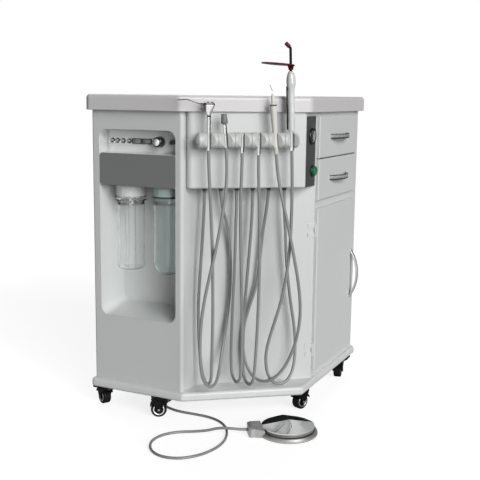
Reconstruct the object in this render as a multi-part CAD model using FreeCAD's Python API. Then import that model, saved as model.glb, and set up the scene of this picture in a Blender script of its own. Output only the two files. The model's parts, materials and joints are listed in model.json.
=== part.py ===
"""Portable dental unit on castors: a wheeled cabinet with a slanted instrument face,
a bottle alcove, two drawers, a door, six instruments on hoses and a foot pedal.

Units are millimetres, +Z is up and z = 0 is the floor.  The model is built with its plan
origin at the bottom of the corner post, where the alcove face meets the instrument face,
and each node is moved to the middle of the unit's floor box when it is written.
"""
import FreeCAD, Part
import math
import os

Vec = FreeCAD.Vector

# ------------------------------------------------------------------ cabinet
SIDE_LENGTH = 268.0          # alcove face, along X
FRONT_LENGTH = 314.0         # instrument face, across the slanted corner
FRONT_RUN = 0.8              # the instrument face goes 4 along X ...
FRONT_RISE = 0.6             # ... for each 3 along Y
CABINET_DEPTH = 612.0        # alcove face to back, along Y
RECESS_DEPTH = 58.0          # lower front panel, behind the apron
BODY_HEIGHT = 716.5
WALL = 4.0
POST_RADIUS = 8.0            # nose of the corner post
COVE_RADIUS = 35.0           # cove from the post into the lower front panel
CORNER_RADIUS = 6.0

PLINTH_HEIGHT = 24.0
PLINTH_OVERHANG = 10.0
PLINTH_EDGE = 8.0            # rounding of the plinth's long edges
PLINTH_CORNER = 12.0
PLINTH_DECK = 6.0
PLINTH_RIM = 9.0
RIB_PITCH = 96.0
RIB_WIDTH = 4.0

TOP_HEIGHT = 40.0
TOP_OVERHANG_SIDE = 14.0
TOP_OVERHANG_FRONT = 10.0
TOP_OVERHANG_DRAWERS = 16.0
TOP_OVERHANG_BACK = 14.0
TOP_EDGE = 10.0
TOP_CORNER = 18.0
TRAY_DEPTH = 5.0
TRAY_RIM = 24.0
TOP_DECK = 6.0
TOP_SEAT = 34.0              # solid band over the cabinet walls

# ------------------------------------------------------------------ castors
CASTER_HEIGHT = 57.5
WHEEL_RADIUS = 21.0
WHEEL_WIDTH = 22.0
CASTER_TRAIL = 16.0
CASTER_PLATE = 58.0
PLATE_THICKNESS = 3.0
KINGPIN_RADIUS = 5.0
AXLE_RADIUS = 4.0
SHAFT_CLEARANCE = 0.05
FORK_WALL = 3.0
CASTER_INSET = 20.0          # swivel axis from the cabinet's faces

# ------------------------------------------------------------------ apron and its end panel
APRON_HEIGHT = 190.0
APRON_WALL = 3.0
APRON_NOSE = 12.0
PANEL_TOP_MARGIN = 10.0
PANEL_THICKNESS = 2.5
PANEL_INSET = 3.0
GAUGE_BELOW_TOP = 61.0
GAUGE_RADIUS = 22.0
GAUGE_BEZEL = 5.0
GAUGE_CASE_DEPTH = 15.0
BUTTON_BELOW_TOP = 150.0
BUTTON_RADIUS = 12.2
BUTTON_TRAVEL = 3.0
BUTTON_STEM = 3.7
SWITCH_RADIUS = 15.0
SWITCH_BEZEL = 5.0
SWITCH_DEPTH = 15.0
SWITCH_FLOOR = 0.6           # bottom of the collar's mouth, out from the plate

# ------------------------------------------------------------------ instrument bar
BAR_Z = 730.0
BAR_OUT = 32.0               # bar axis in front of the apron
BAR_RADIUS = 19.0
BAR_START_MARGIN = 31.0      # bar ends, past the first and the last holder
BAR_END_MARGIN = 18.0
HOLDER_FIRST = 60.0
HOLDER_PITCH = 41.6
HOLDER_COUNT = 6
INSTRUMENT_OUT = 34.0        # instrument axes in front of the apron
GRIP_CLEARANCE = 0.3
FLARE_WIDTH = 29.0
FLARE_DEPTH = 8.0
HOSE_RADIUS = 4.0
PEDAL_HOSE_RADIUS = 3.5
GLAND_OUT = -30.0            # hose glands behind the apron's face
GLAND_DROP = 8.0

# ------------------------------------------------------------------ alcove
ALCOVE_SIDE_MARGIN = 22.0    # from the cabinet's left side
ALCOVE_POST_MARGIN = 20.0    # from the corner post
ALCOVE_TOP_MARGIN = 48.0     # below the worktop
ALCOVE_HEIGHT = 489.0
ALCOVE_RADIUS = 22.0
ALCOVE_DEPTH = 102.0
ALCOVE_FLOOR_RISE = 20.0
ALCOVE_DRAFT = 6.0
LINER_WALL = 3.0
FIT = 0.8
POCKET_HEIGHT = 61.0         # switch pocket, from the alcove's top down to the housing's shelf
LABEL_HEIGHT = 82.0
POCKET_DEPTH = 34.0
LABEL_THICKNESS = 2.0
CONTROLS_DROP = 30.0         # controls' centre line below the alcove's top
ROCKER_TILT = 6.0
TOGGLE_TILT = 14.0
KNOB_RADIUS = 14.0
KNOB_LENGTH = 25.0

WATER_MARGIN = 62.0          # water bottle's axis from the alcove's left side
WASTE_MARGIN = 53.0          # waste bottle's axis from its right side
BOTTLE_Y = 52.0
BOTTLE_RADIUS = 36.0
BOTTLE_WALL = 2.5
BOTTLE_HEIGHT = 178.0        # base to shoulder
CAP_RADIUS = 38.0
CAP_HEIGHT = 30.0
CAP_TO_SHOULDER = 15.0
NECK_RADIUS = 31.0

# ------------------------------------------------------------------ drawers and door
BAY_FRONT_MARGIN = 9.1       # bay's side walls from the cabinet's corners, along Y
BAY_BACK_MARGIN = 50.0
FRONT_OVERLAP = 4.0
FRONT_THICKNESS = 9.0
FACE_GAP = 0.3
FRONT_GAP = 2.0
DRAWER_TOP_MARGIN = 11.0
DRAWER_FRONT_HEIGHT = 109.0
DOOR_RAIL = 20.5             # ledge between the lower drawer and the door
DOOR_BOTTOM_MARGIN = 21.5
BAY_DEPTH = 315.2
BAY_PANEL = 4.0
DRAWER_LENGTH = 292.0
DRAWER_WALL = 3.0
DRAWER_SIDE_HEIGHT = 72.0
RUNNER_WIDTH = 10.0
RUNNER_HEIGHT = 12.0
RUNNER_GAP = 0.4
DRAWER_HANDLE_SPAN = 136.0
DOOR_HANDLE_SPAN = 148.0
HANDLE_RISE = 24.0
HANDLE_WIDTH = 14.0
HANDLE_THICKNESS = 5.0
HANDLE_EDGE = 15.0           # door handle's middle from the door's free edge
HINGE_RADIUS = 2.6
HINGE_PIN = 1.4
HINGE_HEIGHT = 36.0

# ------------------------------------------------------------------ compressor
TANK_RADIUS = 70.0
TANK_LENGTH = 410.0
TANK_BACK_MARGIN = 52.0
TANK_WALL = 3.0
TANK_DISH = 22.0
TANK_PORT = 8.0
TANK_CLEARANCE = 16.0
MOTOR_RADIUS = 48.0

# ------------------------------------------------------------------ foot pedal
PEDAL_X = 270.0
PEDAL_Y = 62.0
PEDAL_RADIUS = 75.0
PEDAL_HEADING = 34.0         # degrees, from the hose boot towards the pedal
PEDAL_BASE_HEIGHT = 11.0
PEDAL_WELL = 6.5             # base floor below the plate
BOOT_REACH = 102.0
BOOT_WIDTH = 46.0
BOOT_HEIGHT = 30.0
PLATE_RADIUS = 67.0
PLATE_STEM = 6.0
PLATE_TRAVEL = 5.0
PLATE_RIM_LOW = 12.5
PLATE_RIM_TOP = 22.0
PLATE_PEAK = 31.0
PLATE_WALL = 2.5

# ------------------------------------------------------------------ derived places
PLINTH_Z = CASTER_HEIGHT
BODY_Z = PLINTH_Z + PLINTH_HEIGHT
TOP_Z = BODY_Z + BODY_HEIGHT
APRON_Z = TOP_Z - APRON_HEIGHT
ALONG = Vec(FRONT_RUN, FRONT_RISE, 0)
OUT = Vec(FRONT_RISE, -FRONT_RUN, 0)
UP = Vec(0, 0, 1)
FACE_X = FRONT_LENGTH * FRONT_RUN
FRONT_Y = FRONT_LENGTH * FRONT_RISE
RECESS_SHIFT = RECESS_DEPTH / FRONT_RUN
DRAWER_TOP = TOP_Z - DRAWER_TOP_MARGIN
DOOR_TOP = DRAWER_TOP - 2 * DRAWER_FRONT_HEIGHT - FRONT_GAP - DOOR_RAIL
DOOR_BOTTOM = BODY_Z + DOOR_BOTTOM_MARGIN
BAY_START = FRONT_Y + RECESS_SHIFT + BAY_FRONT_MARGIN
BAY_END = CABINET_DEPTH - BAY_BACK_MARGIN
BAY_BACK_X = FACE_X - BAY_DEPTH
BAR_START = HOLDER_FIRST - BAR_START_MARGIN
BAR_END = HOLDER_FIRST + (HOLDER_COUNT - 1) * HOLDER_PITCH + BAR_END_MARGIN
ALCOVE_LEFT = ALCOVE_SIDE_MARGIN - SIDE_LENGTH
ALCOVE_RIGHT = -ALCOVE_POST_MARGIN
ALCOVE_WIDTH = ALCOVE_RIGHT - ALCOVE_LEFT
ALCOVE_HIGH = TOP_Z - ALCOVE_TOP_MARGIN
ALCOVE_LOW = ALCOVE_HIGH - ALCOVE_HEIGHT
HOUSING_SHELF = ALCOVE_HIGH - POCKET_HEIGHT
HOUSING_LOW = HOUSING_SHELF - LABEL_HEIGHT
CONTROLS_Z = ALCOVE_HIGH - CONTROLS_DROP
TOGGLE_X = [ALCOVE_LEFT + share * ALCOVE_WIDTH for share in (0.093, 0.159, 0.235, 0.316)]
ROCKER_X = [ALCOVE_LEFT + share * ALCOVE_WIDTH for share in (0.418, 0.551)]
ROCKER_HALF = 0.062 * ALCOVE_WIDTH
KNOB_X = ALCOVE_LEFT + 0.735 * ALCOVE_WIDTH
OUTLET_X = ALCOVE_LEFT + 0.889 * ALCOVE_WIDTH
BOTTLE_X = {"water": ALCOVE_LEFT + WATER_MARGIN, "waste": ALCOVE_RIGHT - WASTE_MARGIN}
BOTTLE_SHOULDER_Z = HOUSING_LOW - CAP_HEIGHT - CAP_TO_SHOULDER
BOTTLE_BASE_Z = BOTTLE_SHOULDER_Z - BOTTLE_HEIGHT
TANK_START = CABINET_DEPTH - TANK_BACK_MARGIN - TANK_LENGTH
# swivel axis x, y and the direction that the wheel trails
CASTERS = {
    "left": (CASTER_INSET - SIDE_LENGTH, CASTER_INSET + 3, 148.0),
    "post": (-64.0, CASTER_INSET + 1, 209.0),
    "corner": (FACE_X - CASTER_INSET - 5, FRONT_Y + 36, 68.0),
    "rear_right": (FACE_X - CASTER_INSET, CABINET_DEPTH - 52, 282.0),
    "rear_left": (CASTER_INSET + 3 - SIDE_LENGTH, CABINET_DEPTH - 2 * CASTER_INSET, 53.0),
}
LEFT = (-SIDE_LENGTH, 0.0)
POST = (0.0, 0.0)
FRONT = (FACE_X, FRONT_Y)
FRONT_IN = (FACE_X, FRONT_Y + RECESS_SHIFT)
POST_IN = (0.0, RECESS_SHIFT)
BACK_RIGHT = (FACE_X, CABINET_DEPTH)
BACK_LEFT = (-SIDE_LENGTH, CABINET_DEPTH)
BODY_PLAN = [LEFT, POST, POST_IN, FRONT_IN, BACK_RIGHT, BACK_LEFT]
BODY_RADII = [CORNER_RADIUS, POST_RADIUS, COVE_RADIUS, CORNER_RADIUS, CORNER_RADIUS, CORNER_RADIUS]
OUTER_PLAN = [LEFT, POST, FRONT, BACK_RIGHT, BACK_LEFT]

NODES = {}


# ------------------------------------------------------------------ drawing helpers
def flat(a, b):
    return Vec(a, b, 0)


def upright(a, b):
    return Vec(a, 0, b)


def outline(points, radii=0.0, to_space=flat):
    """Closed wire through the points, each corner rounded by its own tangent arc."""
    count = len(points)
    if not isinstance(radii, (list, tuple)):
        radii = [radii] * count
    corners = []
    for i in range(count):
        here = Vec(points[i][0], points[i][1], 0)
        before = Vec(points[i - 1][0], points[i - 1][1], 0)
        after = Vec(points[(i + 1) % count][0], points[(i + 1) % count][1], 0)
        inward = (here - before).normalize()
        onward = (after - here).normalize()
        if radii[i] <= 0:
            corners.append((here, None, here))
            continue
        turn = inward.getAngle(onward)
        reach = radii[i] * math.tan(turn / 2)
        bisector = (onward - inward).normalize()
        middle = here + bisector * (radii[i] / math.cos(turn / 2) - radii[i])
        corners.append((here - inward * reach, middle, here + onward * reach))
    edges = []
    for i in range(count):
        start, middle, end = corners[i]
        if middle is not None:
            arc = Part.Arc(*[to_space(p.x, p.y) for p in (start, middle, end)])
            edges.append(arc.toShape())
        following = corners[(i + 1) % count][0]
        if (following - end).Length > 1e-6:
            edges.append(Part.makeLine(to_space(end.x, end.y), to_space(following.x, following.y)))
    return Part.Wire(edges)


def prism(points, radii, low, high):
    wire = outline(points, radii)
    solid = Part.Face(wire).extrude(Vec(0, 0, high - low))
    solid.translate(Vec(0, 0, low))
    return solid


def turned(profile, radii=0.0):
    """Solid of revolution about Z from (radius, height) points."""
    return Part.Face(outline(profile, radii, upright)).revolve(Vec(0, 0, 0), UP, 360)


def placed(shape, origin, along_x, along_z):
    """Moves a shape from its own axes to an origin, an X direction and a Z direction."""
    x = Vec(along_x).normalize()
    z = Vec(along_z).normalize()
    y = z.cross(x)
    matrix = FreeCAD.Matrix(x.x, y.x, z.x, origin.x, x.y, y.y, z.y, origin.y, x.z, y.z, z.z, origin.z)
    moved = shape.copy()
    moved.Placement = FreeCAD.Placement(matrix).multiply(moved.Placement)
    return moved


def block(x0, x1, y0, y1, z0, z1):
    return Part.makeBox(x1 - x0, y1 - y0, z1 - z0, Vec(x0, y0, z0))


def rod(radius, start, end):
    axis = end - start
    return Part.makeCylinder(radius, axis.Length, start, axis)


def ring(outer, inner, start, end):
    return rod(outer, start, end).cut(rod(inner, start, end))


def grown(points, margins):
    """Counter-clockwise outline with each edge moved outwards by its own margin."""
    count = len(points)
    lines = []
    for i in range(count):
        a = Vec(points[i][0], points[i][1], 0)
        b = Vec(points[(i + 1) % count][0], points[(i + 1) % count][1], 0)
        along = (b - a).normalize()
        lines.append((a + Vec(along.y, -along.x, 0) * margins[i], along))
    result = []
    for i in range(count):
        p, d = lines[i - 1]
        q, e = lines[i]
        reach = ((q.x - p.x) * e.y - (q.y - p.y) * e.x) / (d.x * e.y - d.y * e.x)
        result.append((p.x + d.x * reach, p.y + d.y * reach))
    return result


def rounded_rectangle(x0, x1, y0, y1):
    return [(x0, y0), (x1, y0), (x1, y1), (x0, y1)]


def front(along, out, z):
    """Point given along the instrument face, out from it, and above the floor."""
    return ALONG * along + OUT * out + UP * z


def edges_at(shape, z):
    return [e for e in shape.Edges if abs(e.BoundBox.ZMin - z) < 1e-4 and abs(e.BoundBox.ZMax - z) < 1e-4]


def add(name, *shapes):
    whole = shapes[0] if len(shapes) == 1 else Part.makeCompound(list(shapes))
    NODES[name] = whole


# ------------------------------------------------------------------ cabinet
def cabinet_shell():
    """Wrap-round housing, open at the top, the bottom and where it is used."""
    inner = grown(BODY_PLAN, [-WALL] * len(BODY_PLAN))
    inner_radii = [max(r - WALL, 1.0) for r in BODY_RADII]
    inner_radii[2] = COVE_RADIUS + WALL
    shell = prism(BODY_PLAN, BODY_RADII, BODY_Z, TOP_Z).cut(prism(inner, inner_radii, BODY_Z, TOP_Z))
    alcove = rounded_rectangle(ALCOVE_LEFT, ALCOVE_RIGHT, ALCOVE_LOW, ALCOVE_HIGH)
    opening = Part.Face(outline(alcove, ALCOVE_RADIUS, upright)).extrude(Vec(0, WALL + 2, 0))
    opening.translate(Vec(0, -1, 0))
    shell = shell.cut(opening)
    rail = FRONT_GAP + 2 * FRONT_OVERLAP
    for top in (DRAWER_TOP, DRAWER_TOP - DRAWER_FRONT_HEIGHT - FRONT_GAP):
        low = top - DRAWER_FRONT_HEIGHT + rail / 2
        shell = shell.cut(block(FACE_X - WALL - 1, FACE_X + 1, BAY_START, BAY_END, low, top - rail / 2))
    shell = shell.cut(block(FACE_X - WALL - 1, FACE_X + 1, BAY_START, BAY_END,
                            DOOR_BOTTOM + 2 * FRONT_OVERLAP, DOOR_TOP - 2 * FRONT_OVERLAP))
    x0, x1, z0, z1 = service_opening()
    shell = shell.cut(block(x0, x1, CABINET_DEPTH - WALL - 1, CABINET_DEPTH + 1, z0, z1))
    add("cabinet_shell", shell)


def service_opening():
    return (-SIDE_LENGTH + 18, BAY_BACK_X - BAY_PANEL - 16, BODY_Z + 40, TOP_Z - 38)


def bay_floor_z():
    return DOOR_TOP + 5.0


def inner_panels():
    """Bay walls: two sides, a back and the floor under the drawers."""
    inside_x = FACE_X - WALL
    back = BAY_BACK_X - BAY_PANEL
    left = block(back, inside_x, BAY_START - BAY_PANEL, BAY_START, BODY_Z, TOP_Z)
    right = block(back, inside_x, BAY_END, BAY_END + BAY_PANEL, BODY_Z, TOP_Z)
    rear = block(back, BAY_BACK_X, BAY_START, BAY_END, BODY_Z, TOP_Z)
    floor = block(BAY_BACK_X, inside_x, BAY_START, BAY_END, bay_floor_z(), bay_floor_z() + BAY_PANEL)
    add("inner_panels", left, right, rear, floor)


def base_plinth():
    """Moulded base: bullnose rim and deck, ribbed underneath, with a pad over each castor."""
    outer = grown(OUTER_PLAN, [PLINTH_OVERHANG] * 5)
    slab = prism(outer, PLINTH_CORNER, PLINTH_Z, BODY_Z)
    slab = slab.makeFillet(PLINTH_EDGE, edges_at(slab, BODY_Z) + edges_at(slab, PLINTH_Z))
    inner = grown(OUTER_PLAN, [PLINTH_OVERHANG - PLINTH_RIM] * 5)
    under = prism(inner, PLINTH_CORNER - 6, PLINTH_Z - 1, BODY_Z - PLINTH_DECK)
    box = under.BoundBox
    x = box.XMin + RIB_PITCH * 0.6
    while x < box.XMax:
        under = under.cut(block(x, x + RIB_WIDTH, box.YMin, box.YMax, PLINTH_Z, BODY_Z))
        x += RIB_PITCH
    y = box.YMin + RIB_PITCH * 0.6
    while y < box.YMax:
        under = under.cut(block(box.XMin, box.XMax, y, y + RIB_WIDTH, PLINTH_Z, BODY_Z))
        y += RIB_PITCH
    half = CASTER_PLATE / 2 + 1
    for cx, cy, _ in CASTERS.values():
        under = under.cut(block(cx - half, cx + half, cy - half, cy + half, PLINTH_Z, BODY_Z))
    gx, gy = PEDAL_GLAND
    under = under.cut(rod(14, Vec(gx, gy, PLINTH_Z), Vec(gx, gy, BODY_Z)))
    add("base_plinth", slab.cut(under))


def worktop():
    """Moulded top with a rolled edge and a shallow tray."""
    margins = [TOP_OVERHANG_SIDE, TOP_OVERHANG_FRONT, TOP_OVERHANG_DRAWERS, TOP_OVERHANG_BACK, TOP_OVERHANG_SIDE]
    high = TOP_Z + TOP_HEIGHT
    slab = prism(grown(OUTER_PLAN, margins), TOP_CORNER, TOP_Z, high)
    slab = slab.makeFillet(TOP_EDGE, edges_at(slab, high))
    slab = slab.makeFillet(2.0, edges_at(slab, TOP_Z))
    tray = prism(grown(OUTER_PLAN, [m - TRAY_RIM for m in margins]), TOP_CORNER, high - TRAY_DEPTH, high + 1)
    slab = slab.cut(tray)
    below = prism(grown(OUTER_PLAN, [m - TOP_SEAT for m in margins]), 6.0, TOP_Z - 1, high - TRAY_DEPTH - TOP_DECK)
    add("worktop", slab.cut(below))


# ------------------------------------------------------------------ apron
def instrument_apron():
    """Hollow moulding in front of the recess that carries the instrument bar."""
    plan = [POST, FRONT, FRONT_IN, POST_IN]
    body = prism(plan, [APRON_NOSE, 3.0, 0, 0], APRON_Z, TOP_Z)
    body = body.makeFillet(4.0, [e for e in edges_at(body, APRON_Z) if e.BoundBox.YMin < FRONT_Y - 1
                                 and e.CenterOfMass.distanceToPoint(front(FRONT_LENGTH / 2, 0, APRON_Z)) < 40])
    body = body.cut(prism(BODY_PLAN, BODY_RADII, APRON_Z - 1, TOP_Z + 1))
    hollow = grown(plan, [-APRON_WALL, -(PANEL_THICKNESS + APRON_WALL), 40.0, -APRON_WALL])
    cavity = prism(hollow, [APRON_NOSE - APRON_WALL, 1.0, 0, 0], APRON_Z + APRON_WALL, TOP_Z + 1)
    body = body.cut(cavity)
    x0, y0, y1, z1 = panel_place()
    body = body.cut(block(x0, FACE_X + 1, y0 - FIT / 2, y1 + 20, APRON_Z - 1, z1 + FIT / 2))
    gauge, button = gauge_centre(), button_centre()
    for centre, radius in ((gauge, GAUGE_RADIUS - 2.5), (button, SWITCH_RADIUS - 3.5)):
        body = body.cut(rod(radius, centre - Vec(20, 0, 0), centre + Vec(5, 0, 0)))
    for k in range(HOLDER_COUNT):
        foot = front(holder_along(k), GLAND_OUT, APRON_Z - 1)
        body = body.cut(rod(6.0, foot, foot + UP * (APRON_WALL + 2)))
    add("instrument_apron", body)


def panel_place():
    """x of the plate's back, its y range and its top."""
    beside_corner = (PANEL_THICKNESS * FRONT_RISE + FACE_GAP) / FRONT_RUN
    return (FACE_X - PANEL_THICKNESS, FRONT_Y + PANEL_INSET, FRONT_IN[1] - beside_corner, TOP_Z - PANEL_TOP_MARGIN)


def gauge_centre():
    return Vec(FACE_X, FRONT_Y + 41, TOP_Z - GAUGE_BELOW_TOP)


def button_centre():
    return Vec(FACE_X, FRONT_Y + 49, TOP_Z - BUTTON_BELOW_TOP)


def panel_plates():
    """Dark plate on the apron's end, and the dark plate below the alcove's switches."""
    x0, y0, y1, z1 = panel_place()
    plate = block(x0, FACE_X, y0, y1, APRON_Z, z1)
    for centre, radius in ((gauge_centre(), GAUGE_RADIUS - 3.0), (button_centre(), SWITCH_RADIUS - 4.0)):
        plate = plate.cut(rod(radius, centre - Vec(20, 0, 0), centre + Vec(5, 0, 0)))
    shape = rounded_rectangle(ALCOVE_LEFT + FIT, ALCOVE_RIGHT - FIT, HOUSING_LOW, HOUSING_SHELF)
    label = Part.Face(outline(shape, 9.0, upright)).extrude(Vec(0, LABEL_THICKNESS, 0))
    label.translate(Vec(0, FACE_GAP, 0))
    add("panel_plates", plate, label)


def rocker_frame(x):
    back = POCKET_DEPTH
    half = ROCKER_HALF
    frame = block(x - half, x + half, back - 3, back, CONTROLS_Z - 7, CONTROLS_Z + 7)
    frame = frame.makeFillet(2.0, [e for e in frame.Edges if abs(e.BoundBox.YLength - 3) < 1e-6])
    return frame.cut(block(x - half + 2, x + half - 2, back - 4, back + 1, CONTROLS_Z - 5, CONTROLS_Z + 5))


def panel_fittings():
    """Black fittings: gauge case, power switch collar, rocker frames and air outlet."""
    g = gauge_centre()
    profile = [(0, -GAUGE_CASE_DEPTH), (GAUGE_RADIUS - 3.4, -GAUGE_CASE_DEPTH), (GAUGE_RADIUS - 3.4, 0),
               (GAUGE_RADIUS, 0), (GAUGE_RADIUS, GAUGE_BEZEL - 1.5), (GAUGE_RADIUS - 1.5, GAUGE_BEZEL),
               (GAUGE_RADIUS - 4, GAUGE_BEZEL), (GAUGE_RADIUS - 4, 1.0), (0, 1.0)]
    case = placed(turned(profile), g, Vec(0, 1, 0), Vec(1, 0, 0))
    case = case.cut(rod(1.0 + SHAFT_CLEARANCE, g - Vec(8, 0, 0), g + Vec(3, 0, 0)))
    b = button_centre()
    body, mouth, stem = SWITCH_RADIUS - 4.4, BUTTON_RADIUS + GRIP_CLEARANCE, BUTTON_STEM + GRIP_CLEARANCE
    pit = 3.0 - SWITCH_DEPTH
    collar = [(0, -SWITCH_DEPTH), (body, -SWITCH_DEPTH), (body, 0), (SWITCH_RADIUS, 0),
              (SWITCH_RADIUS, SWITCH_BEZEL - 1), (SWITCH_RADIUS - 1, SWITCH_BEZEL), (mouth, SWITCH_BEZEL),
              (mouth, SWITCH_FLOOR), (stem, SWITCH_FLOOR), (stem, pit), (0, pit)]
    switch = placed(turned(collar), b, Vec(0, 1, 0), Vec(1, 0, 0))
    frames = [rocker_frame(x) for x in ROCKER_X]
    outlet = Vec(OUTLET_X, POCKET_DEPTH, CONTROLS_Z)
    nozzle = ring(6.5, 3.0, outlet - Vec(0, 9, 0), outlet)
    add("panel_fittings", case, switch, nozzle, *frames)


def power_button():
    b = button_centre()
    back = SWITCH_FLOOR + BUTTON_TRAVEL + 0.6
    foot = 3.6 - SWITCH_DEPTH + BUTTON_TRAVEL
    profile = [(0, foot), (BUTTON_STEM, foot), (BUTTON_STEM, back), (BUTTON_RADIUS, back),
               (BUTTON_RADIUS, 9.5), (BUTTON_RADIUS - 2.5, 11.5), (0, 12.2)]
    add("power_button", placed(turned(profile), b, Vec(0, 1, 0), Vec(1, 0, 0)))


def gauge_needle():
    g = gauge_centre()
    pin = rod(1.0, g - Vec(5, 0, 0), g + Vec(3.2, 0, 0))
    hub = rod(2.6, g + Vec(2.0, 0, 0), g + Vec(3.6, 0, 0))
    hand = [(-1.0, -5.0), (1.0, -5.0), (0.35, 14.0), (-0.35, 14.0)]
    blade = Part.Face(outline(hand)).extrude(Vec(0, 0, 0.6))
    tilt = math.radians(130)
    blade = placed(blade, g + Vec(2.2, 0, 0), Vec(0, math.cos(tilt), math.sin(tilt)), Vec(1, 0, 0))
    add("gauge_needle", pin.fuse(hub).fuse(blade))


# ------------------------------------------------------------------ instrument bar and instruments
def holder_along(k):
    return HOLDER_FIRST + HOLDER_PITCH * k


# holder number, lean towards the post in degrees, radius in the holder, bottom end below the bar axis
INSTRUMENTS = {
    "syringe": (0, 0.0, 5.5, 25.0),
    "motor": (1, 4.2, 5.3, 18.2),
    "connector_a": (2, 0.0, 5.3, 31.0),
    "connector_b": (3, 0.0, 5.3, 36.0),
    "scaler": (4, 4.7, 6.2, 34.1),
    "light": (5, 2.0, 6.2, 26.0),
}


def instrument_axis(name):
    k, lean, _, _ = INSTRUMENTS[name]
    angle = math.radians(lean)
    return front(holder_along(k), INSTRUMENT_OUT, BAR_Z), UP * math.cos(angle) - ALONG * math.sin(angle)


def on_instrument(shape, name):
    centre, axis = instrument_axis(name)
    across = OUT.cross(axis)
    return placed(shape, centre, across * -1, axis)


def instrument_holders():
    """Moulded bar with six flared slots, on two stand-offs."""
    profile = [(0, BAR_START), (BAR_RADIUS - 6, BAR_START), (BAR_RADIUS, BAR_START + 6)]
    for k in range(HOLDER_COUNT - 1):
        middle = holder_along(k) + HOLDER_PITCH / 2
        profile += [(BAR_RADIUS, middle - 2.0), (BAR_RADIUS - 1.6, middle), (BAR_RADIUS, middle + 2.0)]
    profile += [(BAR_RADIUS, BAR_END - 6), (BAR_RADIUS - 6, BAR_END), (0, BAR_END)]
    bar = placed(turned(profile), front(0, BAR_OUT, BAR_Z), OUT, ALONG)
    for k in (0, 4):
        foot = front(holder_along(k) + HOLDER_PITCH / 2, 0, BAR_Z)
        stand = Part.makeBox(18, BAR_OUT, 26, Vec(-9, 0, -13))
        bar = bar.fuse(placed(stand, foot, ALONG, UP).mirror(foot, OUT))
    for name, (k, lean, radius, _) in INSTRUMENTS.items():
        grip = radius + GRIP_CLEARANCE
        hole = Part.makeCylinder(grip, 80, Vec(0, 0, -40))
        mouth = BAR_OUT + BAR_RADIUS - INSTRUMENT_OUT
        half = grip * 0.82
        slit = Part.makeBox(2 * half, 40, 80, Vec(-half, 0, -40))
        flare = [(-half, mouth - FLARE_DEPTH), (half, mouth - FLARE_DEPTH),
                 (FLARE_WIDTH / 2, mouth), (FLARE_WIDTH / 2, mouth + 8), (-FLARE_WIDTH / 2, mouth + 8),
                 (-FLARE_WIDTH / 2, mouth)]
        valley = Part.Face(outline(flare)).extrude(Vec(0, 0, 80))
        valley.translate(Vec(0, 0, -40))
        cutter = hole.fuse(slit).fuse(valley)
        centre, axis = instrument_axis(name)
        bar = bar.cut(placed(cutter, centre, OUT.cross(axis), axis))
    add("instrument_holders", bar)


def syringe():
    """Three-way syringe: slim grip, flared head and a bent nozzle."""
    grip = turned([(0, -25), (4.6, -25), (5.5, -22), (5.5, 56), (4.9, 57), (4.9, 58.5), (5.6, 59.5), (0, 59.5)])
    low = outline([(5.6, 0), (0, 5.6), (-5.6, 0), (0, -5.6)], 3.6)
    low.translate(Vec(0, 0, 59.5))
    high = outline(rounded_rectangle(-15, 15, -8, 8), 7.0)
    high.translate(Vec(0, 0, 84))
    crown = outline(rounded_rectangle(-13, 13, -6.5, 6.5), 5.5)
    crown.translate(Vec(0, 0, 90))
    head = Part.makeLoft([low, high], True, True).fuse(Part.makeLoft([high, crown], True, True))
    root = Vec(-12.5, 0, 84)
    knee = Vec(-54, 0, 98)
    tip = Vec(-77, 0, 96)
    collar = rod(3.2, root, root + (knee - root).normalize() * 9)
    nozzle = bent_rod([root, knee, tip], 1.3, 7.0)
    body = grip.fuse(head).fuse(collar).fuse(nozzle)
    for x in (-2.0, 7.5):
        body = body.cut(Part.makeCylinder(2.6 + 0.3, 12, Vec(x, 0, 84)))
    add("syringe", on_instrument(body, "syringe"))
    for name, x in (("air_button", -2.0), ("water_button", 7.5)):
        cap = turned([(0, 86), (2.6, 86), (2.6, 92), (1.6, 92.8), (0, 92.8)])
        cap.translate(Vec(x, 0, 0))
        add(name, on_instrument(cap, "syringe"))


def bent_rod(points, radius, bend):
    """Round rod along straight runs joined by arcs of one bend radius."""
    edges = []
    start = points[0]
    for i in range(1, len(points) - 1):
        arrive = (points[i] - points[i - 1]).normalize()
        leave = (points[i + 1] - points[i]).normalize()
        turn = arrive.getAngle(leave)
        reach = bend * math.tan(turn / 2)
        middle = points[i] + (leave - arrive).normalize() * (bend / math.cos(turn / 2) - bend)
        edges.append(Part.makeLine(start, points[i] - arrive * reach))
        edges.append(Part.Arc(points[i] - arrive * reach, middle, points[i] + leave * reach).toShape())
        start = points[i] + leave * reach
    edges.append(Part.makeLine(start, points[-1]))
    spine = Part.Wire(edges)
    circle = Part.Wire(Part.makeCircle(radius, points[0], points[1] - points[0]))
    return spine.makePipeShell([circle], True, False)


def motor_coupling():
    """Micromotor connector with a tapered cap over its end."""
    metal = turned([(0, -18.2), (4.5, -18.2), (5.3, -15), (5.3, 38), (4.4, 40), (4.4, 46), (0, 46)])
    cap = turned([(4.6, 40.3), (7.6, 40.3), (8.5, 44), (6.7, 63), (5.7, 64), (0, 64), (0, 46.3), (4.6, 46.3)])
    add("motor_coupling", on_instrument(metal, "motor"), on_instrument(cap, "motor"))


def connector(name, node, top):
    bottom = -INSTRUMENTS[name][3]
    outer = [(0, bottom), (4.4, bottom), (5.3, bottom + 3), (5.3, top - 9), (4.7, top - 8.2), (4.7, top - 6.6),
             (5.3, top - 5.8), (5.3, top - 1), (4.9, top), (PORT_RADIUS, top),
             (PORT_RADIUS, top - PORT_LENGTH), (0, top - PORT_LENGTH)]
    add(node, on_instrument(turned(outer), name))


PORT_RADIUS = 3.6
PORT_LENGTH = 12.0
CONNECTOR_TOP = {"connector_a": 14.0, "connector_b": 11.0}


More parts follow.
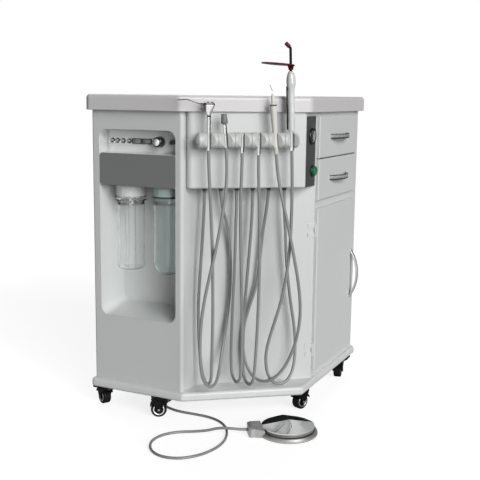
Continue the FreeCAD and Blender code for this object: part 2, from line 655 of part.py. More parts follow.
def scaler():
    """Ultrasonic scaler: ivory handpiece with a bent working tip."""
    body = turned([(0, -34.1), (3.8, -34.1), (4.4, -30), (6.2, -19), (6.2, 19), (7.3, 40), (8.2, 68), (8.7, 84),
                   (8.7, 87), (7.4, 88.5), (4.4, 92), (3.6, 108), (1.7, 114), (0, 114)])
    tip = bent_rod([Vec(0, 0, 112), Vec(0, 0, 121), Vec(-5.5, 0, 135)], 0.8, 6.0)
    add("scaler", on_instrument(body.fuse(tip), "scaler"))


GUIDE_KNEE = Vec(0, 0, 224)
GUIDE_TURN = Vec(-0.7071, 0, 0.7071)
GUIDE_TIP_RADIUS = 4.6
GUIDE_TIP_LENGTH = 13.0
STRIP_REACH = 11.4           # switch strip along the grip, out from the light's axis
STRIP_WIDTH = 5.0
SHIELD_RADIUS = 41.0
SHIELD_THICKNESS = 2.6
SHIELD_OFFSET = 32.0
SHIELD_TILT = 6.0


def curing_light():
    """Curing lamp: bulbous head, slim grip and a bent light guide."""
    metal = [(0, -26), (5.0, -26), (6.2, -22), (6.2, 20)]
    profile = metal + [(8.4, 24), (9.0, 70), (8.2, 118), (9.0, 126), (11.4, 138), (10.8, 152), (8.4, 162),
                       (5.4, 168), (0, 168)]
    radii = [0, 1, 2, 1, 2, 20, 20, 12, 14, 14, 10, 2, 0]
    body = turned(profile, radii)
    guide = bent_rod([Vec(0, 0, 166), GUIDE_KNEE, GUIDE_KNEE + GUIDE_TURN * 7], 3.0, 8.0)
    tip = Part.makeCylinder(GUIDE_TIP_RADIUS, GUIDE_TIP_LENGTH, GUIDE_KNEE + GUIDE_TURN * 4, GUIDE_TURN)
    tip = tip.makeFillet(1.8, tip.Edges)
    strip = block(-STRIP_REACH, 0, -STRIP_WIDTH / 2, STRIP_WIDTH / 2, 26, 132)
    strip = strip.makeFillet(1.2, [e for e in strip.Edges if e.BoundBox.XMax < 1 - STRIP_REACH])
    add("curing_light", on_instrument(body.fuse(guide).fuse(tip).fuse(strip), "light"))
    hub = turned([(3.3, 170.2), (5.6, 172), (7.6, 180), (7.6, 184), (3.3, 184)])
    disc = Part.makeCylinder(SHIELD_RADIUS, SHIELD_THICKNESS, Vec(-SHIELD_OFFSET, 0, 181.4))
    disc = disc.makeFillet(1.2, disc.Edges[0:1])
    disc.rotate(Vec(0, 0, 182), Vec(0, 1, 0), SHIELD_TILT)
    hole = Part.makeCylinder(3.3, 30, Vec(0, 0, 165))
    add("light_shield", on_instrument(hub.fuse(disc).cut(hole), "light"))


# ------------------------------------------------------------------ hoses
# points as distance along the instrument face, out from it, and above the floor
HOSES = {
    "hose_syringe": [
        (60.0, 34.0, 704.8), (60.0, 34.0, 668.0), (64.0, 35.0, 600.0), (69.0, 35.0, 495.0), (72.0, 35.0, 390.0),
        (73.0, 34.0, 290.0), (72.0, 32.0, 210.0), (71.0, 31.0, 155.0), (70.0, 30.0, 116.0), (64.0, 3.0, 98.0),
        (57.0, -25.0, 114.0), (52.0, -28.0, 152.0), (47.0, -29.0, 208.0), (45.0, -30.0, 300.0),
        (51.0, -31.0, 400.0), (57.0, -31.0, 500.0), (60.0, -30.0, 564.0), (60.0, -30.0, 600.0)],
    "hose_motor": [
        (102.9, 34.0, 711.6), (105.6, 34.0, 676.1), (104.0, 37.0, 612.0), (93.0, 42.0, 540.0),
        (75.0, 49.0, 452.0), (56.0, 51.0, 374.0), (42.0, 51.0, 298.0), (37.0, 50.0, 222.0),
        (40.0, 50.0, 160.0), (48.0, 48.0, 122.0), (67.0, 39.0, 102.0), (86.0, 20.0, 110.0),
        (98.0, -8.0, 136.0), (109.0, -31.0, 180.0), (123.0, -43.0, 250.0), (132.0, -46.0, 340.0),
        (132.0, -46.0, 430.0), (122.0, -40.0, 512.0), (104.0, -31.0, 563.0), (101.6, -30.0, 600.0)],
    "hose_turbine_a": [
        (143.2, 34.0, 698.8), (143.2, 34.0, 664.0), (141.0, 34.0, 600.0), (141.0, 33.0, 510.0),
        (144.0, 34.0, 420.0), (147.0, 33.0, 330.0), (149.0, 31.0, 250.0), (149.0, 30.0, 195.0),
        (148.0, 29.0, 154.0), (147.0, 28.0, 117.0), (140.0, 1.0, 99.0), (134.0, -26.0, 116.0),
        (132.0, -28.0, 156.0), (133.0, -29.0, 215.0), (136.0, -29.0, 310.0), (140.0, -30.0, 410.0),
        (142.0, -31.0, 500.0), (143.2, -30.0, 564.0), (143.2, -30.0, 600.0)],
    "hose_turbine_b": [
        (184.8, 34.0, 693.8), (184.8, 34.0, 660.0), (187.0, 34.0, 600.0), (190.0, 34.0, 510.0),
        (192.0, 33.0, 415.0), (191.0, 31.0, 325.0), (189.0, 30.0, 250.0), (187.0, 29.0, 195.0),
        (184.0, 29.0, 150.0), (181.0, 28.0, 108.0), (173.0, 3.0, 91.0), (165.0, -23.0, 108.0),
        (163.0, -26.0, 154.0), (164.0, -27.0, 212.0), (167.0, -28.0, 300.0), (175.0, -29.0, 400.0),
        (182.0, -31.0, 490.0), (184.8, -30.0, 560.0), (184.8, -30.0, 600.0)],
    "hose_scaler": [
        (229.2, 34.0, 695.8), (232.1, 34.0, 661.0), (241.0, 37.0, 604.0), (259.0, 43.0, 527.0),
        (277.0, 46.0, 441.0), (293.0, 45.0, 360.0), (300.0, 42.0, 283.0), (289.0, 37.0, 205.0),
        (262.0, 28.0, 138.0), (226.0, 14.0, 101.0), (195.0, -12.0, 101.0), (175.0, -36.0, 130.0),
        (166.0, -46.0, 182.0), (169.0, -47.0, 238.0), (183.0, -45.0, 290.0), (202.0, -43.0, 345.0),
        (210.0, -41.0, 430.0), (216.0, -37.0, 505.0), (224.4, -31.0, 563.0), (226.4, -30.0, 600.0)],
    "hose_light": [
        (268.9, 34.0, 703.8), (270.2, 34.0, 668.0), (272.0, 34.0, 604.0), (272.0, 33.0, 515.0),
        (268.0, 31.0, 430.0), (258.0, 28.0, 350.0), (242.0, 22.0, 282.0), (227.0, 14.0, 228.0),
        (216.0, 9.0, 176.0), (221.0, 7.0, 122.0), (243.0, 4.0, 91.0), (274.0, 0.0, 91.0),
        (297.0, -12.0, 120.0), (306.0, -24.0, 170.0), (303.0, -31.0, 238.0), (290.0, -33.0, 312.0),
        (279.0, -34.0, 400.0), (274.0, -32.0, 490.0), (268.0, -30.0, 562.0), (268.0, -30.0, 600.0)],
}
HOSE_OWNERS = {"hose_syringe": "syringe", "hose_motor": "motor", "hose_turbine_a": "connector_a",
               "hose_turbine_b": "connector_b", "hose_scaler": "scaler", "hose_light": "light"}
# points in plan and above the floor, from the base to the pedal's boot
PEDAL_GLAND = (-150.0, 122.0)
PEDAL_HOSE = [
    (-150.0, 122.0, 47.5), (-150.0, 122.0, 31.0), (-143.0, 113.0, 13.0), (-118.0, 88.0, 4.0),
    (-84.0, 68.0, 3.8), (-44.0, 56.0, 3.8), (2.0, 58.0, 3.8), (48.0, 58.0, 3.8), (90.0, 42.0, 3.8),
    (122.0, 11.0, 3.8), (144.0, -28.0, 3.8), (158.0, -75.0, 3.8), (157.0, -125.0, 3.8),
    (140.0, -175.0, 3.8), (106.0, -211.0, 3.8), (60.0, -218.0, 3.8), (20.0, -194.0, 3.8),
    (-4.0, -150.0, 3.8), (-1.0, -104.0, 3.8), (26.0, -68.0, 3.8), (62.0, -48.0, 4.0),
    (94.0, -38.0, 9.0), (118.0, -30.0, 17.0), (142.0, -21.0, 18.0), (170.5, -5.1, 14.0), (190.4, 8.3, 13.0)]


def tube(points, radius, name):
    """Hose along straight runs, each corner as wide an arc as its two runs allow."""
    edges = []
    start = points[0]
    length = 0.0
    tightest = 1e9
    for i in range(1, len(points) - 1):
        before = points[i] - points[i - 1]
        after = points[i + 1] - points[i]
        turn = before.getAngle(after)
        reach = 0.45 * min(before.Length, after.Length)
        bend = reach / math.tan(turn / 2)
        tightest = min(tightest, bend)
        arrive = Vec(before).normalize()
        leave = Vec(after).normalize()
        middle = points[i] + (leave - arrive).normalize() * (bend / math.cos(turn / 2) - bend)
        enter = points[i] - arrive * reach
        edges.append(Part.makeLine(start, enter))
        edges.append(Part.Arc(enter, middle, points[i] + leave * reach).toShape())
        length += (enter - start).Length + bend * turn
        start = points[i] + leave * reach
    edges.append(Part.makeLine(start, points[-1]))
    length += (points[-1] - start).Length
    spine = Part.Wire(edges)
    circle = Part.Wire(Part.makeCircle(radius, points[0], points[1] - points[0]))
    solid = spine.makePipeShell([circle], True, False)
    expected = math.pi * radius * radius * length
    print("%s: length %.0f, tightest radius %.1f, volume ratio %.4f, valid %s"
          % (name, length, tightest, solid.Volume / expected, solid.isValid()))
    return solid


def hoses():
    for name, points in HOSES.items():
        add(name, tube([front(*p) for p in points], HOSE_RADIUS, name))
    add("hose_pedal", tube([Vec(*p) for p in PEDAL_HOSE], PEDAL_HOSE_RADIUS, "hose_pedal"))


def hose_glands():
    """Rubber glands under the apron, and the pedal hose's gland under the base."""
    profile = [(0, 0), (HOSE_RADIUS + 1.2, 0), (HOSE_RADIUS + 2.2, 5), (9, 5.5), (9, GLAND_DROP), (6, GLAND_DROP),
               (6, GLAND_DROP + APRON_WALL), (8, GLAND_DROP + APRON_WALL), (7, GLAND_DROP + 6), (0, GLAND_DROP + 6)]
    glands = []
    for k in range(HOLDER_COUNT):
        foot = front(holder_along(k), GLAND_OUT, APRON_Z - GLAND_DROP)
        glands.append(placed(turned(profile), foot, ALONG, UP))
    gx, gy = PEDAL_GLAND
    under = turned([(0, 0), (5.2, 0), (6.2, 5), (10, 6), (10, 10), (0, 10)])
    glands.append(placed(under, Vec(gx, gy, PLINTH_Z - 10), Vec(1, 0, 0), UP))
    add("hose_glands", *glands)


# ------------------------------------------------------------------ alcove
def alcove_loft(margin, start, end):
    """Tub form between two depths; margin grows it outwards."""
    wires = []
    for depth in (start, end):
        share = (depth - WALL) / (ALCOVE_DEPTH - WALL)
        inset = ALCOVE_DRAFT * share - margin
        low = ALCOVE_LOW + ALCOVE_FLOOR_RISE * share - margin
        shape = rounded_rectangle(ALCOVE_LEFT + inset, ALCOVE_RIGHT - inset, low, ALCOVE_HIGH - inset)
        wire = outline(shape, ALCOVE_RADIUS + margin - 4 * share, upright)
        wire.translate(Vec(0, depth, 0))
        wires.append(wire)
    return Part.makeLoft(wires, True, True)


def alcove_liner():
    """Moulded tub behind the opening, with the valve housing across its upper part."""
    tub = alcove_loft(LINER_WALL, WALL, ALCOVE_DEPTH + LINER_WALL).cut(alcove_loft(0.0, WALL - 0.01, ALCOVE_DEPTH))
    low, shelf, high = HOUSING_LOW, HOUSING_SHELF, ALCOVE_HIGH + 5
    near = FACE_GAP + LABEL_THICKNESS
    side = [(near, low), (ALCOVE_DEPTH, low), (ALCOVE_DEPTH, high), (POCKET_DEPTH, high),
            (POCKET_DEPTH, shelf + 3), (near, shelf)]
    solid = Part.Face(outline(side, [0, 0, 0, 0, 5, 2])).extrude(Vec(0, 0, ALCOVE_WIDTH))
    solid = placed(solid, Vec(ALCOVE_LEFT, 0, 0), Vec(0, 1, 0), Vec(1, 0, 0))
    housing = solid.common(alcove_loft(-FIT / 2, near, ALCOVE_DEPTH))
    inner_side = [(near + 3, low + 3), (ALCOVE_DEPTH - 4, low + 3), (ALCOVE_DEPTH - 4, ALCOVE_HIGH - 12),
                  (POCKET_DEPTH + 3, ALCOVE_HIGH - 12), (POCKET_DEPTH + 3, shelf + 1), (near + 3, shelf - 4)]
    chamber = Part.Face(outline(inner_side)).extrude(Vec(0, 0, ALCOVE_WIDTH - 24))
    housing = housing.cut(placed(chamber, Vec(ALCOVE_LEFT + 12, 0, 0), Vec(0, 1, 0), Vec(1, 0, 0)))
    for x in TOGGLE_X:
        housing = housing.cut(control_hole(x, 2.9))
    for x in ROCKER_X:
        half = ROCKER_HALF - 2
        housing = housing.cut(block(x - half, x + half, POCKET_DEPTH - 1, POCKET_DEPTH + 4,
                                    CONTROLS_Z - 5, CONTROLS_Z + 5))
    housing = housing.cut(control_hole(KNOB_X, 5.0))
    add("alcove_liner", tub, housing)


def control_hole(x, radius):
    return rod(radius, Vec(x, POCKET_DEPTH - 1, CONTROLS_Z), Vec(x, POCKET_DEPTH + 4, CONTROLS_Z))


def bottle_caps():
    """Screw caps that hang under the valve housing, with grips round their rims."""
    caps = []
    for x in BOTTLE_X.values():
        top = HOUSING_LOW
        low = top - CAP_HEIGHT
        profile = [(NECK_RADIUS + 0.3, low), (CAP_RADIUS, low), (CAP_RADIUS, top - 3), (CAP_RADIUS - 3, top),
                   (0, top), (0, top - 4), (NECK_RADIUS + 0.3, top - 4)]
        cap = turned(profile)
        for i in range(16):
            angle = math.radians(i * 22.5)
            groove = rod(1.6, Vec(math.cos(angle), math.sin(angle), 0) * (CAP_RADIUS + 0.9) + UP * (low - 1),
                         Vec(math.cos(angle), math.sin(angle), 0) * (CAP_RADIUS + 0.9) + UP * (top - 6))
            cap = cap.cut(groove)
        cap.translate(Vec(x, BOTTLE_Y, 0))
        caps.append(cap)
    add("bottle_caps", *caps)


def bottles():
    low, shoulder = BOTTLE_BASE_Z, BOTTLE_SHOULDER_Z
    top = HOUSING_LOW - CAP_HEIGHT
    neck_top = HOUSING_LOW - 4 - 0.6
    r, w, n = BOTTLE_RADIUS, BOTTLE_WALL, NECK_RADIUS
    flange = r + 6
    outer = [(0, low), (r, low), (r, shoulder), (flange, shoulder + 3), (flange, top - 3), (flange - 2, top - 0.4),
             (n, top - 0.4), (n, neck_top), (n - w, neck_top), (n - w, shoulder), (r - w, shoulder - 8),
             (r - w, low + w), (0, low + w)]
    glass = turned(outer, [0, 6, 0, 0, 0, 0, 0, 0, 0, 3, 3, 4, 0])
    sleeve = ring(13, 11.6, Vec(0, 0, low + w), Vec(0, 0, neck_top))
    place = Vec(BOTTLE_X["water"], BOTTLE_Y, 0)
    glass.translate(place)
    sleeve.translate(place)
    add("water_bottle", glass, sleeve)
    outer = [(0, low - 6), (r - 14, low - 6), (r, low + 14), (r, shoulder + 4), (n + 3, top - 6), (n + 3, top - 0.4),
             (n, top - 0.4), (n, neck_top), (n - w, neck_top), (n - w, shoulder + 6), (r - w, shoulder - 2),
             (r - w, low + 16), (r - 15, low - 6 + w), (0, low - 6 + w)]
    waste = turned(outer, [0, 8, 10, 4, 0, 0, 0, 0, 0, 3, 3, 8, 6, 0])
    waste.translate(Vec(BOTTLE_X["waste"], BOTTLE_Y, 0))
    add("waste_bottle", waste)


def rocker_pivot(x):
    return Vec(x, POCKET_DEPTH - 1.2, CONTROLS_Z)


def toggle_pivot(x):
    return Vec(x, POCKET_DEPTH - 5.0, CONTROLS_Z)


def controls():
    """Toggles, rockers and the regulator knob, with their metal bushings."""
    bushings = []
    for i, x in enumerate(TOGGLE_X):
        seat = Vec(x, POCKET_DEPTH, CONTROLS_Z)
        nut = Part.Face(outline([(5 * math.cos(a * math.pi / 3), 5 * math.sin(a * math.pi / 3)) for a in range(6)]))
        nut = placed(nut.extrude(Vec(0, 0, 2)), seat, Vec(1, 0, 0), Vec(0, -1, 0))
        barrel = rod(2.8, seat + Vec(0, 6, 0), seat - Vec(0, 6, 0))
        bore = rod(2.0, seat - Vec(0, 1, 0), seat - Vec(0, 7, 0))
        bushings.append(nut.fuse(barrel).cut(bore))
        lever = turned([(0, -1.7), (1.2, -1.2), (1.7, 0), (1.2, 1.2), (0.9, 2), (1.3, 10), (1.9, 12), (1.9, 13.4),
                        (1.2, 14.2), (0, 14.2)])
        drop = math.radians(TOGGLE_TILT)
        lever = placed(lever, toggle_pivot(x), Vec(1, 0, 0), Vec(0, -math.cos(drop), -math.sin(drop)))
        add("toggle_%d" % (i + 1), lever)
    for i, x in enumerate(ROCKER_X):
        half = ROCKER_HALF - 2 - GRIP_CLEARANCE
        face = [(-half, 1.5), (half, 1.5), (half, -2.6), (0, -5.2), (-half, -2.6)]
        rocker = Part.Face(outline(face, [0, 0, 1.5, 3, 1.5])).extrude(Vec(0, 0, 9.4))
        rocker.rotate(Vec(0, 0, 0), UP, -ROCKER_TILT)
        rocker.translate(rocker_pivot(x) - UP * 4.7)
        add("rocker_%d" % (i + 1), rocker)
    seat = Vec(KNOB_X, POCKET_DEPTH, CONTROLS_Z)
    bushings.append(ring(7.5, 3.0 + SHAFT_CLEARANCE, seat - Vec(0, 3, 0), seat)
                    .fuse(ring(4.9, 3.0 + SHAFT_CLEARANCE, seat - Vec(0, 1, 0), seat + Vec(0, 14, 0))))
    profile = [(0, -13), (3.0, -13), (3.0, 3.4), (KNOB_RADIUS - 1, 3.4), (KNOB_RADIUS, 5), (KNOB_RADIUS - 1.5, 22),
               (KNOB_RADIUS - 4, KNOB_LENGTH), (0, KNOB_LENGTH)]
    knob = turned(profile)
    for i in range(12):
        angle = math.radians(i * 30)
        edge = Vec(math.cos(angle), math.sin(angle), 0) * (KNOB_RADIUS + 1.0)
        knob = knob.cut(rod(2.0, edge + UP * 5, edge + UP * (KNOB_LENGTH + 1)))
    add("regulator_knob", placed(knob, seat, Vec(1, 0, 0), Vec(0, -1, 0)))
    return bushings


# ------------------------------------------------------------------ drawers and door
def front_panel(low, high):
    """Overlay front with rounded edges."""
    y0, y1 = BAY_START - FRONT_OVERLAP, BAY_END + FRONT_OVERLAP
    x0 = FACE_X + FACE_GAP
    panel = block(x0, x0 + FRONT_THICKNESS, y0, y1, low, high)
    outer = [e for e in panel.Edges if abs(e.BoundBox.XMin - x0 - FRONT_THICKNESS) < 1e-6]
    return panel.makeFillet(3.5, outer)


def drawer_places():
    upper = DRAWER_TOP - DRAWER_FRONT_HEIGHT
    lower = upper - FRONT_GAP - DRAWER_FRONT_HEIGHT
    return {"drawer_upper": upper, "drawer_lower": lower}


def drawers():
    """Each drawer: overlay front, tray and the rails that ride over the fixed runners."""
    x1 = FACE_X + FACE_GAP
    x0 = x1 - DRAWER_LENGTH
    y0 = BAY_START + RUNNER_WIDTH + RUNNER_GAP
    y1 = BAY_END - RUNNER_WIDTH - RUNNER_GAP
    for name, low in drawer_places().items():
        z0 = low + 14
        z1 = z0 + DRAWER_SIDE_HEIGHT
        tray = block(x0, x1 + 1, y0, y1, z0, z1)
        w = DRAWER_WALL
        tray = tray.cut(block(x0 + w, x1 - w, y0 + w, y1 - w, z0 + w, z1 + 1))
        rail_z = runner_top(low) + RUNNER_GAP
        rails = block(x0, x1 - WALL - 3, y0 - RUNNER_WIDTH + 1, y0 + 0.5, rail_z, rail_z + 4)
        rails = rails.fuse(block(x0, x1 - WALL - 3, y1 - 0.5, y1 + RUNNER_WIDTH - 1, rail_z, rail_z + 4))
        add(name, front_panel(low, low + DRAWER_FRONT_HEIGHT).fuse(tray).fuse(rails))
        middle = Vec(FACE_X + FACE_GAP + FRONT_THICKNESS, (BAY_START + BAY_END) / 2, low + DRAWER_FRONT_HEIGHT / 2)
        add(name + "_handle", bow_handle(middle, Vec(0, 1, 0), DRAWER_HANDLE_SPAN))


def runner_top(low):
    return low + 40.0


def bow_handle(middle, along, span):
    """Flat bar bent to an arc, both ends on the front."""
    radius = (span ** 2 / 4 + HANDLE_RISE ** 2) / (2 * HANDLE_RISE)
    sweep = math.asin(span / 2 / radius) + 0.1
    lift = HANDLE_RISE - radius
    outer = arc_points(radius, sweep, lift)
    inner = arc_points(radius - HANDLE_THICKNESS, sweep, lift)
    edges = [Part.Arc(*outer).toShape(), Part.makeLine(outer[2], inner[2]),
             Part.Arc(*inner[::-1]).toShape(), Part.makeLine(inner[0], outer[0])]
    strap = Part.Face(Part.Wire(edges)).extrude(Vec(0, 0, HANDLE_WIDTH))
    strap.translate(Vec(0, 0, -HANDLE_WIDTH / 2))
    outside = Part.makeBox(2 * span, 2 * HANDLE_RISE, 2 * HANDLE_WIDTH, Vec(-span, 0, -HANDLE_WIDTH))
    strap = strap.common(outside)
    rims = [e for e in strap.Edges if abs(e.BoundBox.ZMax - e.BoundBox.ZMin) < 1e-6 and e.Length > span / 2]
    return placed(strap.makeFillet(1.6, rims), middle, along, along.cross(Vec(1, 0, 0)))


def arc_points(radius, sweep, lift):
    return [Vec(radius * math.sin(a), lift + radius * math.cos(a), 0) for a in (-sweep, 0, sweep)]


def hinge_axis():
    return (FACE_X + HINGE_RADIUS + 0.2, BAY_START - FRONT_OVERLAP - HINGE_RADIUS - 0.3)


def hinge_levels():
    return (DOOR_BOTTOM + 40, DOOR_TOP - 40 - HINGE_HEIGHT)


def door():
    """Door with shallow pressed panel, its stop flange and the moving hinge knuckles."""
    panel = front_panel(DOOR_BOTTOM, DOOR_TOP)
    x0 = FACE_X + FACE_GAP
    flange = block(x0 - 8, x0 + 1, BAY_START + 14, BAY_END - 6, DOOR_BOTTOM + 14, DOOR_TOP - 14)
    flange = flange.cut(block(x0 - 9, x0, BAY_START + 17, BAY_END - 9, DOOR_BOTTOM + 17, DOOR_TOP - 17))
    panel = panel.fuse(flange)
    hx, hy = hinge_axis()
    third = HINGE_HEIGHT / 3
    for z in hinge_levels():
        knuckle = rod(HINGE_RADIUS, Vec(hx, hy, z + third + 0.2), Vec(hx, hy, z + 2 * third - 0.2))
        leaf = block(hx - 0.4, hx + 1.6, hy, BAY_START - FRONT_OVERLAP + 1, z + third + 0.2, z + 2 * third - 0.2)
        bore = rod(HINGE_PIN + SHAFT_CLEARANCE, Vec(hx, hy, z), Vec(hx, hy, z + HINGE_HEIGHT))
        panel = panel.fuse(knuckle).fuse(leaf).cut(bore)
    add("door", panel)
    middle = Vec(x0 + FRONT_THICKNESS, BAY_END + FRONT_OVERLAP - HANDLE_EDGE, (DOOR_TOP + DOOR_BOTTOM) / 2 - 3.5)
    add("door_handle", bow_handle(middle, UP, DOOR_HANDLE_SPAN))


def steel_fittings(bushings):
    """Switch bushings, drawer runners and the fixed hinge halves."""
    pieces = list(bushings)
    x0, x1 = BAY_BACK_X, FACE_X - WALL - 1
    for low in drawer_places().values():
        top = runner_top(low)
        pieces.append(block(x0, x1, BAY_START, BAY_START + RUNNER_WIDTH, top - RUNNER_HEIGHT, top))
        pieces.append(block(x0, x1, BAY_END - RUNNER_WIDTH, BAY_END, top - RUNNER_HEIGHT, top))
    hx, hy = hinge_axis()
    third = HINGE_HEIGHT / 3
    for z in hinge_levels():
        hinge = rod(HINGE_PIN, Vec(hx, hy, z), Vec(hx, hy, z + HINGE_HEIGHT))
        for low in (z, z + 2 * third):
            hinge = hinge.fuse(rod(HINGE_RADIUS, Vec(hx, hy, low), Vec(hx, hy, low + third)))
        leaf = Part.makeBox(19, 1.4, HINGE_HEIGHT, Vec(0, 0, 0))
        root = Vec(FRONT_IN[0], FRONT_IN[1], z) - ALONG * 16.5
        leaf = placed(leaf, root + OUT * 1.4, ALONG, UP).common(
            block(-500, 500, -500, 900, z, z + third).fuse(block(-500, 500, -500, 900, z + 2 * third, z + HINGE_HEIGHT)))
        hinge = hinge.fuse(leaf)
        pieces.append(hinge)
    add("steel_fittings", *pieces)


# ------------------------------------------------------------------ back and machinery
def back_cover():
    """Service cover with louvre slots and the mains inlet."""
    x0, x1, z0, z1 = service_opening()
    shape = rounded_rectangle(x0 - 8, x1 + 8, z0 - 8, z1 + 8)
    cover = Part.Face(outline(shape, 8.0, upright)).extrude(Vec(0, 3, 0))
    cover.translate(Vec(0, CABINET_DEPTH, 0))
    middle = (x0 + x1) / 2
    for level in (z0 + 110, z1 - 190):
        for i in range(9):
            z = level + i * 13
            cover = cover.cut(block(middle - 50, middle + 50, CABINET_DEPTH - 1, CABINET_DEPTH + 4, z, z + 5))
    inlet_z = z0 + 45
    cover = cover.cut(block(middle - 14, middle + 14, CABINET_DEPTH - 1, CABINET_DEPTH + 4, inlet_z, inlet_z + 21))
    flange = block(middle - 25, middle + 25, CABINET_DEPTH + 3, CABINET_DEPTH + 6, inlet_z - 3, inlet_z + 24)
    case = block(middle - 13.7, middle + 13.7, CABINET_DEPTH - 18, CABINET_DEPTH + 4, inlet_z + 0.3, inlet_z + 20.7)
    socket = block(middle - 12, middle + 12, CABINET_DEPTH - 14, CABINET_DEPTH + 7, inlet_z + 2.5, inlet_z + 18.5)
    inlet = flange.fuse(case).cut(socket)
    for px, pz in ((-6.8, 8.5), (6.8, 8.5), (0.0, 12.5)):
        pin = block(middle + px - 1, middle + px + 1, CABINET_DEPTH - 15, CABINET_DEPTH + 1,
                    inlet_z + pz - 2, inlet_z + pz + 2)
        inlet = inlet.fuse(pin)
    add("back_cover", cover, inlet)


def compressor():
    """Oil-free compressor: horizontal tank on feet, with the motor and two finned heads on its saddle."""
    x = (-SIDE_LENGTH + WALL + BAY_BACK_X - BAY_PANEL) / 2
    z = BODY_Z + TANK_CLEARANCE + TANK_RADIUS
    r, w, dish, length = TANK_RADIUS, TANK_WALL, TANK_DISH, TANK_LENGTH
    profile = [(TANK_PORT, 0), (r - dish, 0), (r, dish), (r, length - dish), (r - dish, length), (0, length),
               (0, length - w), (r - dish, length - w), (r - w, length - dish), (r - w, dish), (r - dish, w),
               (TANK_PORT, w)]
    tank = placed(turned(profile), Vec(x, TANK_START, z), Vec(1, 0, 0), Vec(0, 1, 0))
    pieces = [tank]
    middle = TANK_START + length / 2
    skin = rod(r, Vec(x, TANK_START, z), Vec(x, TANK_START + length, z))
    for y in (TANK_START + 70, TANK_START + length - 90):
        pieces.append(block(x - 48, x + 48, y, y + 20, BODY_Z, z - 40).cut(skin))
    saddle = block(x - 52, x + 52, middle - 115, middle + 115, z + r - 16, z + r + 6).cut(skin)
    motor_z = z + r + 6 + MOTOR_RADIUS + 2
    motor = rod(MOTOR_RADIUS, Vec(x, middle - 75, motor_z), Vec(x, middle + 75, motor_z))
    pump = saddle.fuse(motor).fuse(block(x - 38, x + 38, middle - 70, middle + 70, z + r + 3, motor_z - 20))
    for side in (-1, 1):
        inner, outer = middle + side * 74, middle + side * 108
        centre = (inner + outer) / 2
        pump = pump.fuse(block(x - 26, x + 26, min(inner, outer), max(inner, outer), motor_z - 20, motor_z + 84))
        for i in range(4):
            level = motor_z + MOTOR_RADIUS + 4 + i * 8
            pump = pump.fuse(block(x - 36, x + 36, centre - 24, centre + 24, level, level + 4))
    pieces.append(pump)
    add("compressor", *pieces)


# ------------------------------------------------------------------ castors
def casters():
    plates = []
    for name, (cx, cy, heading) in CASTERS.items():
        swivel = Vec(cx, cy, 0)
        angle = math.radians(heading)
        trail = Vec(math.cos(angle), math.sin(angle), 0)
        half = CASTER_PLATE / 2
        plate = prism(rounded_rectangle(-half, half, -half, half), 8.0, PLINTH_Z - PLATE_THICKNESS, PLINTH_Z)
        pin = Part.makeCylinder(KINGPIN_RADIUS, 12, Vec(0, 0, PLINTH_Z - PLATE_THICKNESS - 10))
        mount = plate.fuse(pin)
        mount.translate(swivel)
        plates.append(mount)
        add("caster_fork_" + name, placed(fork(), swivel, trail, UP))
        add("caster_wheel_" + name, placed(wheel(), swivel + trail * CASTER_TRAIL + UP * WHEEL_RADIUS,
                                           trail, UP.cross(trail) * -1))
    add("caster_plates", *plates)


def fork():
    """Hooded fork in the swivel's own axes, with its wheel axle."""
    top = PLINTH_Z - PLATE_THICKNESS - 0.3
    t = CASTER_TRAIL
    side = [(-24, top), (t + 24, top), (t + 23, top - 8), (t + 10, WHEEL_RADIUS - 7), (t - 10, WHEEL_RADIUS - 7),
            (-22, top - 8)]
    width = WHEEL_WIDTH / 2 + 1 + FORK_WALL
    hood = Part.Face(outline(side, [2, 2, 8, 8, 8, 8], upright)).extrude(Vec(0, 2 * width, 0))
    hood.translate(Vec(0, -width, 0))
    gap = WHEEL_WIDTH / 2 + 1
    hollow = Part.makeCylinder(WHEEL_RADIUS + 2, 2 * gap, Vec(t, -gap, WHEEL_RADIUS), Vec(0, 1, 0))
    hollow = hollow.fuse(Part.makeBox(80, 2 * gap, 24, Vec(-30, -gap, WHEEL_RADIUS - 24)))
    cone = Part.makeCone(width, CASTER_PLATE / 2, 13, Vec(0, 0, top - 13))
    hood = hood.fuse(cone).cut(hollow)
    hood = hood.cut(Part.makeCylinder(KINGPIN_RADIUS + SHAFT_CLEARANCE, 10.3, Vec(0, 0, top - 10)))
    return hood.fuse(rod(AXLE_RADIUS, Vec(t, -width + 1, WHEEL_RADIUS), Vec(t, width - 1, WHEEL_RADIUS)))


def wheel():
    """Wheel about its own Z axis: tyre, web and hub."""
    w = WHEEL_WIDTH / 2
    bore = AXLE_RADIUS + SHAFT_CLEARANCE
    rim = WHEEL_RADIUS - 6
    profile = [(bore, -w), (7, -w), (8, -w + 3), (rim - 1.5, -w + 3), (rim, -w), (WHEEL_RADIUS, -w),
               (WHEEL_RADIUS, w), (rim, w), (rim - 1.5, w - 3), (8, w - 3), (7, w), (bore, w)]
    return turned(profile, [0, 0, 0, 0, 0, 4, 4, 0, 0, 0, 0, 0])


